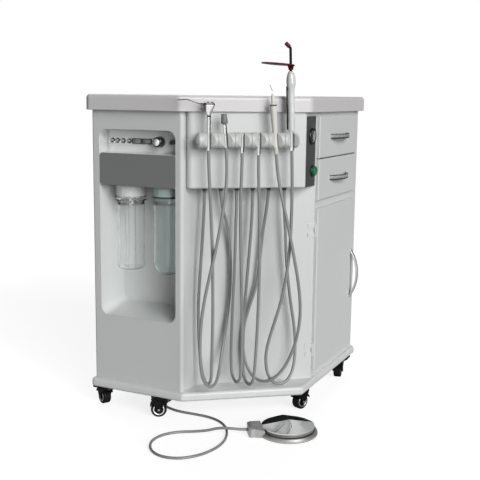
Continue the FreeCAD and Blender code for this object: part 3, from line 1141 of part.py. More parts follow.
# ------------------------------------------------------------------ foot pedal
def pedal():
    """Round foot control: base with its hose boot, and the folded plate on its stem."""
    angle = math.radians(PEDAL_HEADING)
    ahead = Vec(math.cos(angle), math.sin(angle), 0)
    centre = Vec(PEDAL_X, PEDAL_Y, 0)
    inside = PLATE_RADIUS + 2.0
    base = turned([(0, 0), (PEDAL_RADIUS, 0), (PEDAL_RADIUS, 6), (PEDAL_RADIUS - 3, PEDAL_BASE_HEIGHT),
                   (inside, PEDAL_BASE_HEIGHT), (inside, PEDAL_WELL), (0, PEDAL_WELL)], [0, 2, 2, 1, 0, 1, 0])
    tower = Part.makeCylinder(PLATE_STEM + 4, 12.5, Vec(0, 0, 0))
    well = Part.makeCylinder(PLATE_STEM + SHAFT_CLEARANCE, 20, Vec(0, 0, 2.5))
    shape = base.fuse(pedal_boot(inside)).fuse(tower).cut(well)
    add("pedal_base", placed(shape, centre, ahead, UP))
    add("pedal_plate", placed(pedal_plate(), centre, ahead, UP))


def pedal_boot(inside):
    """Hose boot: chamfered block that widens into the base's ring."""
    narrow, wide, neck = BOOT_WIDTH / 2, BOOT_WIDTH / 2 + 9, 14 - BOOT_REACH
    plan = [(-BOOT_REACH, 5 - narrow), (5 - BOOT_REACH, -narrow), (neck, -narrow), (-52, -wide), (-52, wide),
            (neck, narrow), (5 - BOOT_REACH, narrow), (-BOOT_REACH, narrow - 5)]
    boot = prism(plan, 0, 0, BOOT_HEIGHT)
    slope = Part.makeBox(140, 160, 40, Vec(-70, -80, 0))
    boot = boot.cut(placed(slope, Vec(-BOOT_REACH, 0, BOOT_HEIGHT - 6), Vec(1, 0, 0.8), Vec(-0.8, 0, 1)))
    for side in (-1, 1):
        lean = placed(slope, Vec(-BOOT_REACH, side * narrow * 0.55, BOOT_HEIGHT), Vec(1, 0, 0), Vec(0, side * 0.75, 1))
        boot = boot.cut(lean)
    boot = boot.cut(Part.makeCylinder(inside, 60, Vec(0, 0, PEDAL_BASE_HEIGHT)))
    return boot.cut(Part.makeCylinder(inside + 1, 60, Vec(0, 0, -1)))


def pedal_plate():
    """Pressed cap folded into facets that meet at one high point behind its middle."""
    cap = Part.makeCylinder(PLATE_RADIUS, PLATE_PEAK - PLATE_RIM_LOW, Vec(0, 0, PLATE_RIM_LOW))
    peak = Vec(5.6, 10.3, PLATE_PEAK)
    rim = [Vec(PLATE_RADIUS * math.cos(math.radians(a)), PLATE_RADIUS * math.sin(math.radians(a)), PLATE_RIM_TOP)
           for a in (176, 230, 260, 311, 368, 450)]
    slab = Part.makeBox(400, 400, 60, Vec(-200, -200, 0))
    for i in range(len(rim)):
        a, b = rim[i - 1], rim[i]
        normal = (b - a).cross(peak - a).normalize()
        cap = cap.cut(placed(slab, peak, b - a, normal))
    cap = cap.makeFillet(0.8, [e for e in cap.Edges if abs(e.BoundBox.ZMax - PLATE_RIM_LOW) < 1e-4])
    hollow = Part.makeCylinder(PLATE_RADIUS - PLATE_WALL, PLATE_RIM_TOP - PLATE_WALL - 2 - PLATE_RIM_LOW + 1,
                               Vec(0, 0, PLATE_RIM_LOW - 1))
    stem = Part.makeCylinder(PLATE_STEM, PLATE_RIM_TOP - 8.5, Vec(0, 0, 8.5))
    return cap.cut(hollow).fuse(stem)


# ------------------------------------------------------------------ assembly
def floor_centre():
    """Middle, in plan, of everything but the hoses."""
    box = FreeCAD.BoundBox()
    for name, shape in NODES.items():
        if not name.startswith("hose_") or name == "hose_glands":
            box.add(shape.optimalBoundingBox())
    return Vec((box.XMin + box.XMax) / 2, (box.YMin + box.YMax) / 2, 0)


def main():
    os.makedirs("parts", exist_ok=True)
    cabinet_shell()
    inner_panels()
    base_plinth()
    worktop()
    instrument_apron()
    panel_plates()
    panel_fittings()
    power_button()
    gauge_needle()
    instrument_holders()
    syringe()
    motor_coupling()
    connector("connector_a", "turbine_connector_a", CONNECTOR_TOP["connector_a"])
    connector("connector_b", "turbine_connector_b", CONNECTOR_TOP["connector_b"])
    scaler()
    curing_light()
    hoses()
    hose_glands()
    alcove_liner()
    bottle_caps()
    bottles()
    steel_fittings(controls())
    drawers()
    door()
    back_cover()
    compressor()
    casters()
    pedal()
    origin = floor_centre()
    for name, shape in NODES.items():
        moved = shape.copy()
        moved.translate(origin * -1)
        if not moved.isValid():
            print("not valid:", name)
        moved.exportStep("parts/%s.step" % name)
    print(len(NODES), "nodes")


main()
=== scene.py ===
"""Looks, light and camera for the portable dental unit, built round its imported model.

Lengths are metres in the model's own frame: +Z up, the bottle alcove faces -Y, the drawers
face +X, and the instrument face crosses the corner between them.
"""
import json
import math
from functools import cache

import bmesh
import bpy
from bpy.props import FloatProperty, FloatVectorProperty, IntProperty, PointerProperty
from mathutils import Matrix, Vector

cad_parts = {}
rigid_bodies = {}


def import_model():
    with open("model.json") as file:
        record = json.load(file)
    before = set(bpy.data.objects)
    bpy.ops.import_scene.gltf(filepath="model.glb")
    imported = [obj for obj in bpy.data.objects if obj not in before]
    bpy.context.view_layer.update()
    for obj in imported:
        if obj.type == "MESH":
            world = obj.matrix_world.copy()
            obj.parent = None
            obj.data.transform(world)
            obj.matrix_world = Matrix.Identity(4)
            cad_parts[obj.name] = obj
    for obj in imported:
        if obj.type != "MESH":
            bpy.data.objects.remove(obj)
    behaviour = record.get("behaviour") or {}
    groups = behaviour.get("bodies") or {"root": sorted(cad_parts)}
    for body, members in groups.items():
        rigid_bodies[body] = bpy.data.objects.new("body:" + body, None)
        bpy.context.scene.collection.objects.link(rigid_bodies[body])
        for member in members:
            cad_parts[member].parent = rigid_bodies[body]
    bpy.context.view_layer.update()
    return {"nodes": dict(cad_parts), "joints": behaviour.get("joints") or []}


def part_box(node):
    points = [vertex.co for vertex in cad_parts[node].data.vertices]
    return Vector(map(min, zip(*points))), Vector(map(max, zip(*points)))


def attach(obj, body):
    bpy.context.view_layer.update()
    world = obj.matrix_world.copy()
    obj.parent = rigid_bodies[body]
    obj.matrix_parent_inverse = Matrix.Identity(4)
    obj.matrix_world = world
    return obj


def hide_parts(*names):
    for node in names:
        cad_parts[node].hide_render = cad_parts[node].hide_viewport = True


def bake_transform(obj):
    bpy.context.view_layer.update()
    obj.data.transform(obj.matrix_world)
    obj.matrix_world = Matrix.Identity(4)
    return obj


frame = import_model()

bl_info = {
    "name": "Portable Dental Unit",
    "version": (1, 0, 0),
    "blender": (4, 5, 0),
    "location": "View3D > Sidebar > Dental Unit",
    "description": "Dresses the packed dental unit with its finishes, hoses, dials and lamps",
    "category": "Object",
}


def corners(node):
    """Low and high corner of a node's box."""
    return [Vector(corner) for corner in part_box(node)]


def middle_of(node):
    """Middle of a node's box."""
    low, high = corners(node)
    return (low + high) / 2


def joint_of(child):
    """Joint that a node moves on."""
    return next(joint for joint in frame["joints"] if joint["child"] == child)


# ---- places taken from the frame
ROOT = "cabinet"
SHELL_LOW, SHELL_HIGH = corners("cabinet_shell")
SIDE_LENGTH = 0.268  # alcove face, along X
ALONG = Vector((0.8, 0.6, 0.0))  # along the instrument face
OUT = Vector((0.6, -0.8, 0.0))  # out of the instrument face
UP = Vector((0.0, 0.0, 1.0))
POST = Vector((SHELL_LOW.x + SIDE_LENGTH, SHELL_LOW.y, 0.0))
FRONT_LENGTH = (SHELL_HIGH.x - POST.x) / ALONG.x
BAR_HEIGHT = sum(corner[2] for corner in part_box("instrument_holders")) / 2
HOLDER_FIRST = 0.060
HOLDER_PITCH = 0.0416
INSTRUMENT_OUT = 0.034
WHEEL_FACE = 0.011  # wheel's and fork's faces from the middle of the wheel
FORK_FACE = 0.0155
FORK_WALL = 0.0035
PIVOT_OUT = 0.005  # toggles' pivots from their plate
BOLT_OFFSET = 0.0232  # castor plate's bolts from the swivel axis, both ways
GAUGE_BACK, GAUGE_HEIGHT = 0.041, 0.737  # gauge's middle behind the face's right end, above the floor
DIAL_RADIUS = 0.0179
GUIDE_BEND = 0.008  # radius of the light guide's bend
SCREW_INSET = 0.008  # cover's screws from its edges
OVERLAP = 0.0002  # how far set-on pieces reach into what they sit on
PEDAL_RADIUS = 0.0667  # where the plate's folds end
SHADE_LINE_RADIUS = 0.0007  # radius of the plate's dark lines of painted shade along its folds
PEDAL_HEADING = math.radians(34)


def front(along, out, height):
    """Point given along the instrument face, out from it, and above the floor."""
    return POST + ALONG * along + OUT * out + UP * height


def beside_post(x, y, z):
    """Point given from the foot of the corner post."""
    return POST + Vector((x, y, z))


# Routes of the instrument hoses, in tenths of a millimetre: along the face, out from it, above the floor
HOSE_ROUTES = {
    "hose_syringe": [
        (600, 340, 7048), (600, 340, 6680), (640, 350, 6000), (690, 350, 4950), (720, 350, 3900), (730, 340, 2900),
        (720, 320, 2100), (710, 310, 1550), (700, 300, 1160), (640, 30, 980), (570, -250, 1140), (520, -280, 1520),
        (470, -290, 2080), (450, -300, 3000), (510, -310, 4000), (570, -310, 5000), (600, -300, 5640),
        (600, -300, 6000),
    ],
    "hose_motor": [
        (1029, 340, 7116), (1056, 340, 6761), (1040, 370, 6120), (930, 420, 5400), (750, 490, 4520), (560, 510, 3740),
        (420, 510, 2980), (370, 500, 2220), (400, 500, 1600), (480, 480, 1220), (670, 390, 1020), (860, 200, 1100),
        (980, -80, 1360), (1090, -310, 1800), (1230, -430, 2500), (1320, -460, 3400), (1320, -460, 4300),
        (1220, -400, 5120), (1040, -310, 5630), (1016, -300, 6000),
    ],
    "hose_turbine_a": [
        (1432, 340, 6988), (1432, 340, 6640), (1410, 340, 6000), (1410, 330, 5100), (1440, 340, 4200),
        (1470, 330, 3300), (1490, 310, 2500), (1490, 300, 1950), (1480, 290, 1540), (1470, 280, 1170),
        (1400, 10, 990), (1340, -260, 1160), (1320, -280, 1560), (1330, -290, 2150), (1360, -290, 3100),
        (1400, -300, 4100), (1420, -310, 5000), (1432, -300, 5640), (1432, -300, 6000),
    ],
    "hose_turbine_b": [
        (1848, 340, 6938), (1848, 340, 6600), (1870, 340, 6000), (1900, 340, 5100), (1920, 330, 4150),
        (1910, 310, 3250), (1890, 300, 2500), (1870, 290, 1950), (1840, 290, 1500), (1810, 280, 1080),
        (1730, 30, 910), (1650, -230, 1080), (1630, -260, 1540), (1640, -270, 2120), (1670, -280, 3000),
        (1750, -290, 4000), (1820, -310, 4900), (1848, -300, 5600), (1848, -300, 6000),
    ],
    "hose_scaler": [
        (2292, 340, 6958), (2321, 340, 6610), (2410, 370, 6040), (2590, 430, 5270), (2770, 460, 4410),
        (2930, 450, 3600), (3000, 420, 2830), (2890, 370, 2050), (2620, 280, 1380), (2260, 140, 1010),
        (1950, -120, 1010), (1750, -360, 1300), (1660, -460, 1820), (1690, -470, 2380), (1830, -450, 2900),
        (2020, -430, 3450), (2100, -410, 4300), (2160, -370, 5050), (2244, -310, 5630), (2264, -300, 6000),
    ],
    "hose_light": [
        (2689, 340, 7038), (2702, 340, 6680), (2720, 340, 6040), (2720, 330, 5150), (2680, 310, 4300),
        (2580, 280, 3500), (2420, 220, 2820), (2270, 140, 2280), (2160, 90, 1760), (2210, 70, 1220), (2430, 40, 910),
        (2740, 0, 910), (2970, -120, 1200), (3060, -240, 1700), (3030, -310, 2380), (2900, -330, 3120),
        (2790, -340, 4000), (2740, -320, 4900), (2680, -300, 5620), (2680, -300, 6000),
    ],
}
# Route of the pedal's hose, in the same measure: from the foot of the post along X, Y and Z
PEDAL_HOSE_ROUTE = [
    (-1500, 1220, 475), (-1500, 1220, 310), (-1430, 1130, 130), (-1180, 880, 40), (-840, 680, 38),
    (-440, 560, 38), (20, 580, 38), (480, 580, 38), (900, 420, 38), (1220, 110, 38), (1440, -280, 38),
    (1580, -750, 38), (1570, -1250, 38), (1400, -1750, 38), (1060, -2110, 38), (600, -2180, 38),
    (200, -1940, 38), (-40, -1500, 38), (-10, -1040, 38), (260, -680, 38), (620, -480, 40), (940, -380, 90),
    (1180, -300, 170), (1420, -210, 180), (1705, -51, 140), (1904, 83, 130),
]


def metres(route):
    return [[tenths / 10000 for tenths in point] for point in route]


# Instruments in the hoses' order: holder number, lean towards the post in degrees
INSTRUMENTS = {
    "syringe": (0, 0.0),
    "motor_coupling": (1, 4.2),
    "turbine_connector_a": (2, 0.0),
    "turbine_connector_b": (3, 0.0),
    "scaler": (4, 4.7),
    "curing_light": (5, 2.0),
}
# Profiles of turned pieces: (radius, height)
SEAL = [(0.037, 0.0001), (0.0384, 0.0001), (0.039, 0.0008), (0.039, 0.0042), (0.0384, 0.0048), (0.037, 0.0048)]
COLLAR = [(0.0029, 0.0001), (0.0063, 0.0001), (0.0064, 0.001), (0.0056, 0.0024), (0.0029, 0.0024)]
KNOB_CAP = [(0.0088, -0.0004), (0.0088, 0.0006), (0.008, 0.0012), (0.0, 0.0013)]
DIAL = [(0.0016, 0.00105), (DIAL_RADIUS, 0.00105), (DIAL_RADIUS, 0.0013), (0.0016, 0.0013), (0.0016, 0.00105)]
LENS = [(0.0, 0.0038), (DIAL_RADIUS, 0.0038), (DIAL_RADIUS, 0.0044), (0.012, 0.0047), (0.0, 0.0048)]
GUIDE_TIP = [(0.003, -0.0003), (0.0044, -0.0003), (0.0049, 0.0004), (0.0049, 0.0126), (0.004, 0.0133),
             (0.0028, 0.0133), (0.0024, 0.0131), (0.0, 0.0131)]
FUNNEL = [(0.005, 0), (0.029, 0), (0.029, -0.0015), (0.0265, -0.003), (0.0185, -0.0085), (0.016, -0.011),
          (0.005, -0.011), (0.005, 0)]
PLATE_BOLT = [(0.0023, -0.0001), (0.0023, 0.0012), (0.0015, 0.002), (0.0, 0.0021)]
WHEEL_RING = [(0.0118, -0.003), (0.012, -0.0006), (0.0127, 0.0003), (0.0145, 0.0003), (0.0152, -0.0003),
              (0.0152, -0.0012)]
AXLE_END = [(0.0034, 0.0), (0.0034, 0.0008), (0.0026, 0.0015), (0.0, 0.0017)]
COVER_SCREW = [(0.004, -0.0002), (0.004, 0.0006), (0.003, 0.0016), (0.001, 0.0019), (0.0008, 0.001),
               (0.0, 0.001)]
# Trim on the instruments: piece, finish, body, sides, profile up the instrument's axis
TRIM = (
    ("motor_cap", "Grey Cap", "motor_coupling", 40,
     [(0.0, 0.0641), (0.0058, 0.0641), (0.0068, 0.0631), (0.0086, 0.0441), (0.0077, 0.0402), (0.0046, 0.0402)]),
    ("scaler_ring", "Black Plastic", "scaler", 48,
     [(0.0086, 0.0838), (0.0091, 0.0842), (0.0091, 0.0868), (0.0086, 0.0872)]),
    ("scaler_tip_seat", "Chrome", "scaler", 20, [(0.0018, 0.1138), (0.0012, 0.115), (0.001, 0.119)]),
    ("lamp_socket", "Chrome", "curing_light", 40,
     [(0.005, -0.0262), (0.0063, -0.0221), (0.0063, 0.0202), (0.0078, 0.0238)]),
)
# Lamps: name, azimuth and height in degrees, strength, angle across in degrees
LAMPS = (("Key", -32.0, 20.0, 2.7, 42.0), ("Glint", -30.0, 32.0, 0.2, 3.0), ("Back", 125.0, 50.0, 0.85, 50.0))
LAMP_DISTANCE = 4
FLOOR_GLOW, BACKDROP_GLOW = 0.82, 0.96  # seen by the camera, in metal and through clear pieces
FILL_LIGHT = 0.04  # seen by every ray
CAMERA_PLACE = (1.0445, -1.8609, 0.8372)
CAMERA_PITCH, CAMERA_ROLL = math.radians(9.482), math.radians(0.67)
HEADING = Vector((-0.4294, 0.9031, 0.0))  # the way the unit is looked at, and what lies to its right
RIGHTWARD = Vector((0.9031, 0.4294, 0.0))


# ---- what a user would change
def length_property(title, note, default):
    return FloatProperty(name=title, description=note, default=default, min=0.003, max=0.02, unit="LENGTH")


def colour_property(title, note, default):
    return FloatVectorProperty(name=title, description=note, default=default, size=3, min=0, max=1, subtype="COLOR")


class DentalUnitSizes(bpy.types.PropertyGroup):
    hose_diameter: length_property("Hose Diameter", "Outside diameter of the instrument hoses", 0.008)
    pedal_hose_diameter: length_property("Pedal Hose Diameter", "Outside diameter of the pedal's hose", 0.007)
    hose_sides: IntProperty(name="Hose Sides", description="Faces round each hose", default=16, min=8, max=48)
    lens_angle: FloatProperty(name="Camera Width", description="Horizontal angle that the camera sees",
                              default=math.radians(31.09), min=0.1, max=2.0, subtype="ANGLE")


class DentalUnitColours(bpy.types.PropertyGroup):
    body: colour_property("Body Panels", "Colour of the cabinet, drawers and door", (0.66, 0.675, 0.67))
    moulding: colour_property("Worktop", "Colour of the worktop", (0.675, 0.66, 0.67))
    hose: colour_property("Hoses", "Colour of the hoses", (0.262, 0.265, 0.262))
    shield: colour_property("Light Shield", "Colour of the lamp's shield", (0.14, 0.012, 0.012))
    button: colour_property("Power Button", "Colour of the power button", (0.005, 0.20, 0.085))


def sizes():
    return bpy.context.scene.dental_unit_sizes


def colours():
    return bpy.context.scene.dental_unit_colours


# ---- shader nodes
def fill(tree, node, inputs):
    """Links a node's inputs to the sockets given for them, and sets plain values."""
    for name, value in inputs.items():
        if isinstance(value, bpy.types.NodeSocket):
            tree.links.new(value, node.inputs[name])
        else:
            node.inputs[name].default_value = value


def add_node(tree, kind, inputs, output=0, **settings):
    """One output of a new node."""
    node = tree.nodes.new(kind)
    for name, value in settings.items():
        setattr(node, name, value)
    fill(tree, node, inputs)
    return node.outputs[output]


def maths(tree, operation, *values):
    return add_node(tree, "ShaderNodeMath", dict(enumerate(values)), operation=operation)


def vector_math(tree, operation, *values, output="Vector"):
    return add_node(tree, "ShaderNodeVectorMath", dict(enumerate(values)), output, operation=operation)


def noise_node(tree, vector, scale, detail):
    inputs = {"Vector": vector, "Scale": scale, "Detail": detail, "Roughness": 0.55}
    return add_node(tree, "ShaderNodeTexNoise", inputs, "Fac")


def object_place(tree):
    return tree.nodes.new("ShaderNodeTexCoord").outputs["Object"]


def axis_of(tree, vector, axis):
    return add_node(tree, "ShaderNodeSeparateXYZ", {0: vector}, axis)


def fade(tree, value, start, end, at_start=0.0, at_end=1.0):
    """Smooth change from one value to another as a third goes from start to end."""
    inputs = {"Value": value, "From Min": start, "From Max": end, "To Min": at_start, "To Max": at_end}
    return add_node(tree, "ShaderNodeMapRange", inputs, "Result", interpolation_type="SMOOTHSTEP")


def mix(tree, factor, a, b):
    """First colour where the factor is zero, second where it is one."""
    return add_node(tree, "ShaderNodeMix", {"Factor": factor, "A": a, "B": b}, "Result", data_type="RGBA")


def swing(tree, noise, middle, amount, around):
    """Value that a noise moves up and down from its middle."""
    away = maths(tree, "SUBTRACT", noise, middle)
    return maths(tree, "ADD", maths(tree, "MULTIPLY", away, amount), around)


# ---- shared shader effects
COLOUR, NUMBER = "NodeSocketColor", "NodeSocketFloat"


def new_group(name, inputs, outputs):
    """Node group with its inputs' sockets and its output node."""
    group = bpy.data.node_groups.new(name, "ShaderNodeTree")
    for title, kind, value in inputs:
        socket = group.interface.new_socket(name=title, in_out="INPUT", socket_type=kind)
        socket.default_value = value
    for title, kind in outputs:
        group.interface.new_socket(name=title, in_out="OUTPUT", socket_type=kind)
    return group, group.nodes.new("NodeGroupInput").outputs, group.nodes.new("NodeGroupOutput")


@cache
def moulded_surface():
    """Moulded plastic: slow colour drift, uneven gloss and fine orange peel."""
    group, given, made = new_group(
        "Moulded Surface",
        [("Color", COLOUR, (0.8, 0.8, 0.8, 1)), ("Drift", NUMBER, 0.03),
         ("Roughness", NUMBER, 0.35), ("Gloss Change", NUMBER, 0.08),
         ("Grain Scale", NUMBER, 900.0), ("Grain Depth", NUMBER, 2e-5)],
        [("Color", COLOUR), ("Roughness", NUMBER), ("Height", NUMBER)])
    place = object_place(group)
    level = swing(group, noise_node(group, place, 5.0, 2.0), 0.5, given["Drift"], 1.0)
    mottled = noise_node(group, place, 38.0, 4.0)
    grain = noise_node(group, place, given["Grain Scale"], 2.0)
    fill(group, made, {
        "Color": add_node(group, "ShaderNodeVectorMath", {0: given["Color"], "Scale": level}, operation="SCALE"),
        "Roughness": swing(group, mottled, 0.5, given["Gloss Change"], given["Roughness"]),
        "Height": maths(group, "MULTIPLY", grain, given["Grain Depth"])})
    return group


@cache
def drawn_metal():
    """Turned or brushed metal: fine streaks across one axis and faint smudges."""
    group, given, made = new_group(
        "Drawn Metal",
        [("Stretch", "NodeSocketVector", (1.0, 1.0, 60.0)), ("Roughness", NUMBER, 0.2),
         ("Streaks", NUMBER, 0.12), ("Depth", NUMBER, 1e-5)],
        [("Roughness", NUMBER), ("Height", NUMBER)])
    place = object_place(group)
    streak = noise_node(group, vector_math(group, "MULTIPLY", place, given["Stretch"]), 40.0, 4.0)
    smudge = maths(group, "MULTIPLY", noise_node(group, place, 55.0, 3.0), 0.6)
    both = maths(group, "ADD", streak, smudge)
    fill(group, made, {
        "Roughness": swing(group, both, 0.8, given["Streaks"], given["Roughness"]),
        "Height": maths(group, "MULTIPLY", streak, given["Depth"])})
    return group


@cache
def settled_dust():
    """Mask of light dust that lies on upward faces and gathers in patches."""
    group, given, made = new_group(
        "Settled Dust", [("Amount", NUMBER, 0.1)], [("Mask", NUMBER)])
    normal = group.nodes.new("ShaderNodeNewGeometry").outputs["Normal"]
    upward = maths(group, "MAXIMUM", axis_of(group, normal, "Z"), 0.0)
    patchy = noise_node(group, object_place(group), 22.0, 5.0)
    lying = maths(group, "MULTIPLY", upward, patchy)
    fill(group, made, {"Mask": maths(group, "MULTIPLY", lying, given["Amount"])})
    return group


def effect(tree, group, inputs):
    """Outputs of a shared effect."""
    node = tree.nodes.new("ShaderNodeGroup")
    node.node_tree = group
    fill(tree, node, inputs)
    return node.outputs


# ---- finishes
DUST_COLOUR = (0.34, 0.33, 0.31, 1)


def blank_material(name):
    material = bpy.data.materials.new(name)
    material.use_nodes = True
    return material, material.node_tree, material.node_tree.nodes["Principled BSDF"]


def bump(tree, height):
    return add_node(tree, "ShaderNodeBump", {"Height": height, "Strength": 1.0, "Distance": 1.0}, "Normal")


def paint(tree, colour):
    """Colour that a function makes in the tree, that the user sets under a name, or that is plain."""
    if callable(colour):
        return colour(tree)
    return (*(getattr(colours(), colour) if isinstance(colour, str) else colour), 1)


def grey(level):
    return (level, level, level)


def moulded(name, colour, roughness=0.35, drift=0.03, grain=900.0, depth=2e-5, coat=0.0, dust=0.0, shine=0.5):
    """Opaque moulded plastic, rubber or paint."""
    material, tree, shader = blank_material(name)
    surface = effect(tree, moulded_surface(), {
        "Color": paint(tree, colour), "Drift": drift, "Roughness": roughness, "Gloss Change": 0.08,
        "Grain Scale": grain, "Grain Depth": depth})
    colour_out = surface["Color"]
    if dust:
        mask = effect(tree, settled_dust(), {"Amount": dust})["Mask"]
        colour_out = mix(tree, mask, colour_out, DUST_COLOUR)
    fill(tree, shader, {
        "Base Color": colour_out, "Roughness": surface["Roughness"], "Normal": bump(tree, surface["Height"]),
        "Specular IOR Level": shine, "Coat Weight": coat, "Coat Roughness": 0.12})
    return material


def metal(name, colour, roughness, streaks=0.1, stretch=(1.0, 1.0, 60.0), depth=1e-5, share=1.0):
    """Bare or plated metal; a share below one lets some plain colour through."""
    material, tree, shader = blank_material(name)
    surface = effect(tree, drawn_metal(), {
        "Stretch": stretch, "Roughness": roughness, "Streaks": streaks, "Depth": depth})
    fill(tree, shader, {
        "Base Color": paint(tree, colour), "Metallic": share, "Roughness": surface["Roughness"],
        "Normal": bump(tree, surface["Height"])})
    return material


def clear(name, colour, roughness, ior=1.45, through=1.0, shine=0.5):
    """See-through plastic or glass."""
    material, tree, shader = blank_material(name)
    surface = effect(tree, moulded_surface(), {
        "Roughness": roughness, "Gloss Change": 0.03, "Grain Scale": 60.0, "Grain Depth": 1e-4})
    fill(tree, shader, {
        "Base Color": paint(tree, colour), "Transmission Weight": through, "Specular IOR Level": shine, "IOR": ior,
        "Roughness": surface["Roughness"], "Normal": bump(tree, surface["Height"])})
    return material


def two_sides(name, below, beyond, border, roughness, axis="X"):
    """Moulded plastic with one colour below a border across one axis and another beyond it."""
    def colour(tree):
        near = maths(tree, "LESS_THAN", axis_of(tree, object_place(tree), axis), border)
        return mix(tree, near, (*beyond, 1), (*below, 1))

    return moulded(name, colour, roughness, 0.05, 2600)


def liner_painted_light_and_shade(name):
    """Alcove plastic: painted light makes its pocket above the tub lighter, and painted shade darkens it beside its
    left wall.
    """
    wall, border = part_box("alcove_liner")[0][0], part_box("toggle_1")[0][2] - 0.026
    painted_shade_to, painted_light_from = wall + 0.004, wall + 0.022

    def colour(tree):
        place = object_place(tree)
        off_wall = fade(tree, axis_of(tree, place, "X"), painted_shade_to, painted_light_from)
        # Painted shade beside the left wall fades into a pocket colour that painted light makes lighter
        pocket = mix(tree, off_wall, (0.6, 0.62, 0.61, 1), (0.83, 0.845, 0.84, 1))
        below = maths(tree, "LESS_THAN", axis_of(tree, place, "Z"), border)
        return mix(tree, below, pocket, (0.665, 0.69, 0.68, 1))

    return moulded(name, colour, 0.36, 0.05, 2600)


def syringe_metal_painted_reflections(name):
    """Bright metal with painted dark reflections on the nozzle and the crown, and painted shade round the grip's
    groove.
    """
    nozzle, crown, groove, half_groove = HOLDER_FIRST - 0.0075, 0.0842, 0.058, 0.0016

    def colour(tree):
        place = object_place(tree)
        along = vector_math(tree, "DOT_PRODUCT", place, ALONG, output="Value")
        left = maths(tree, "LESS_THAN", along, POST.dot(ALONG) + nozzle)
        height = maths(tree, "SUBTRACT", axis_of(tree, place, "Z"), BAR_HEIGHT)
        off_groove = maths(tree, "ABSOLUTE", maths(tree, "SUBTRACT", height, groove))
        # Painted dark reflection on the crown and painted shade in the grip's groove
        dark = maths(tree, "MAXIMUM", maths(tree, "GREATER_THAN", height, crown),
                     maths(tree, "LESS_THAN", off_groove, half_groove))
        # Painted dark reflection on the nozzle
        bright = mix(tree, left, (0.78, 0.785, 0.79, 1), (*grey(0.16), 1))
        return mix(tree, dark, bright, (*grey(0.045), 1))

    return metal(name, colour, 0.07, 0.02, depth=2e-6)


def bow_metal_painted_shading(name, handle):
    """Metal with a painted highlight along its middle height and painted shade towards its upper and lower edges."""
    middle, highlight_to, painted_shade_from = middle_of(handle).z + 0.001, 0.0022, 0.0052

    def colour(tree):
        height = axis_of(tree, object_place(tree), "Z")
        away = maths(tree, "ABSOLUTE", maths(tree, "SUBTRACT", height, middle))
        # Painted highlight at the middle height, painted shade towards the upper and lower edges
        return mix(tree, fade(tree, away, highlight_to, painted_shade_from), (0.8, 0.8, 0.81, 1), (*grey(0.13), 1))

    return metal(name, colour, 0.26, 0.12, share=0.7)


# Borders of two colours: of the caps, left of the post, and of the scaler, above the bar
CAP_BORDER, SCALER_BORDER = 0.128, 0.115
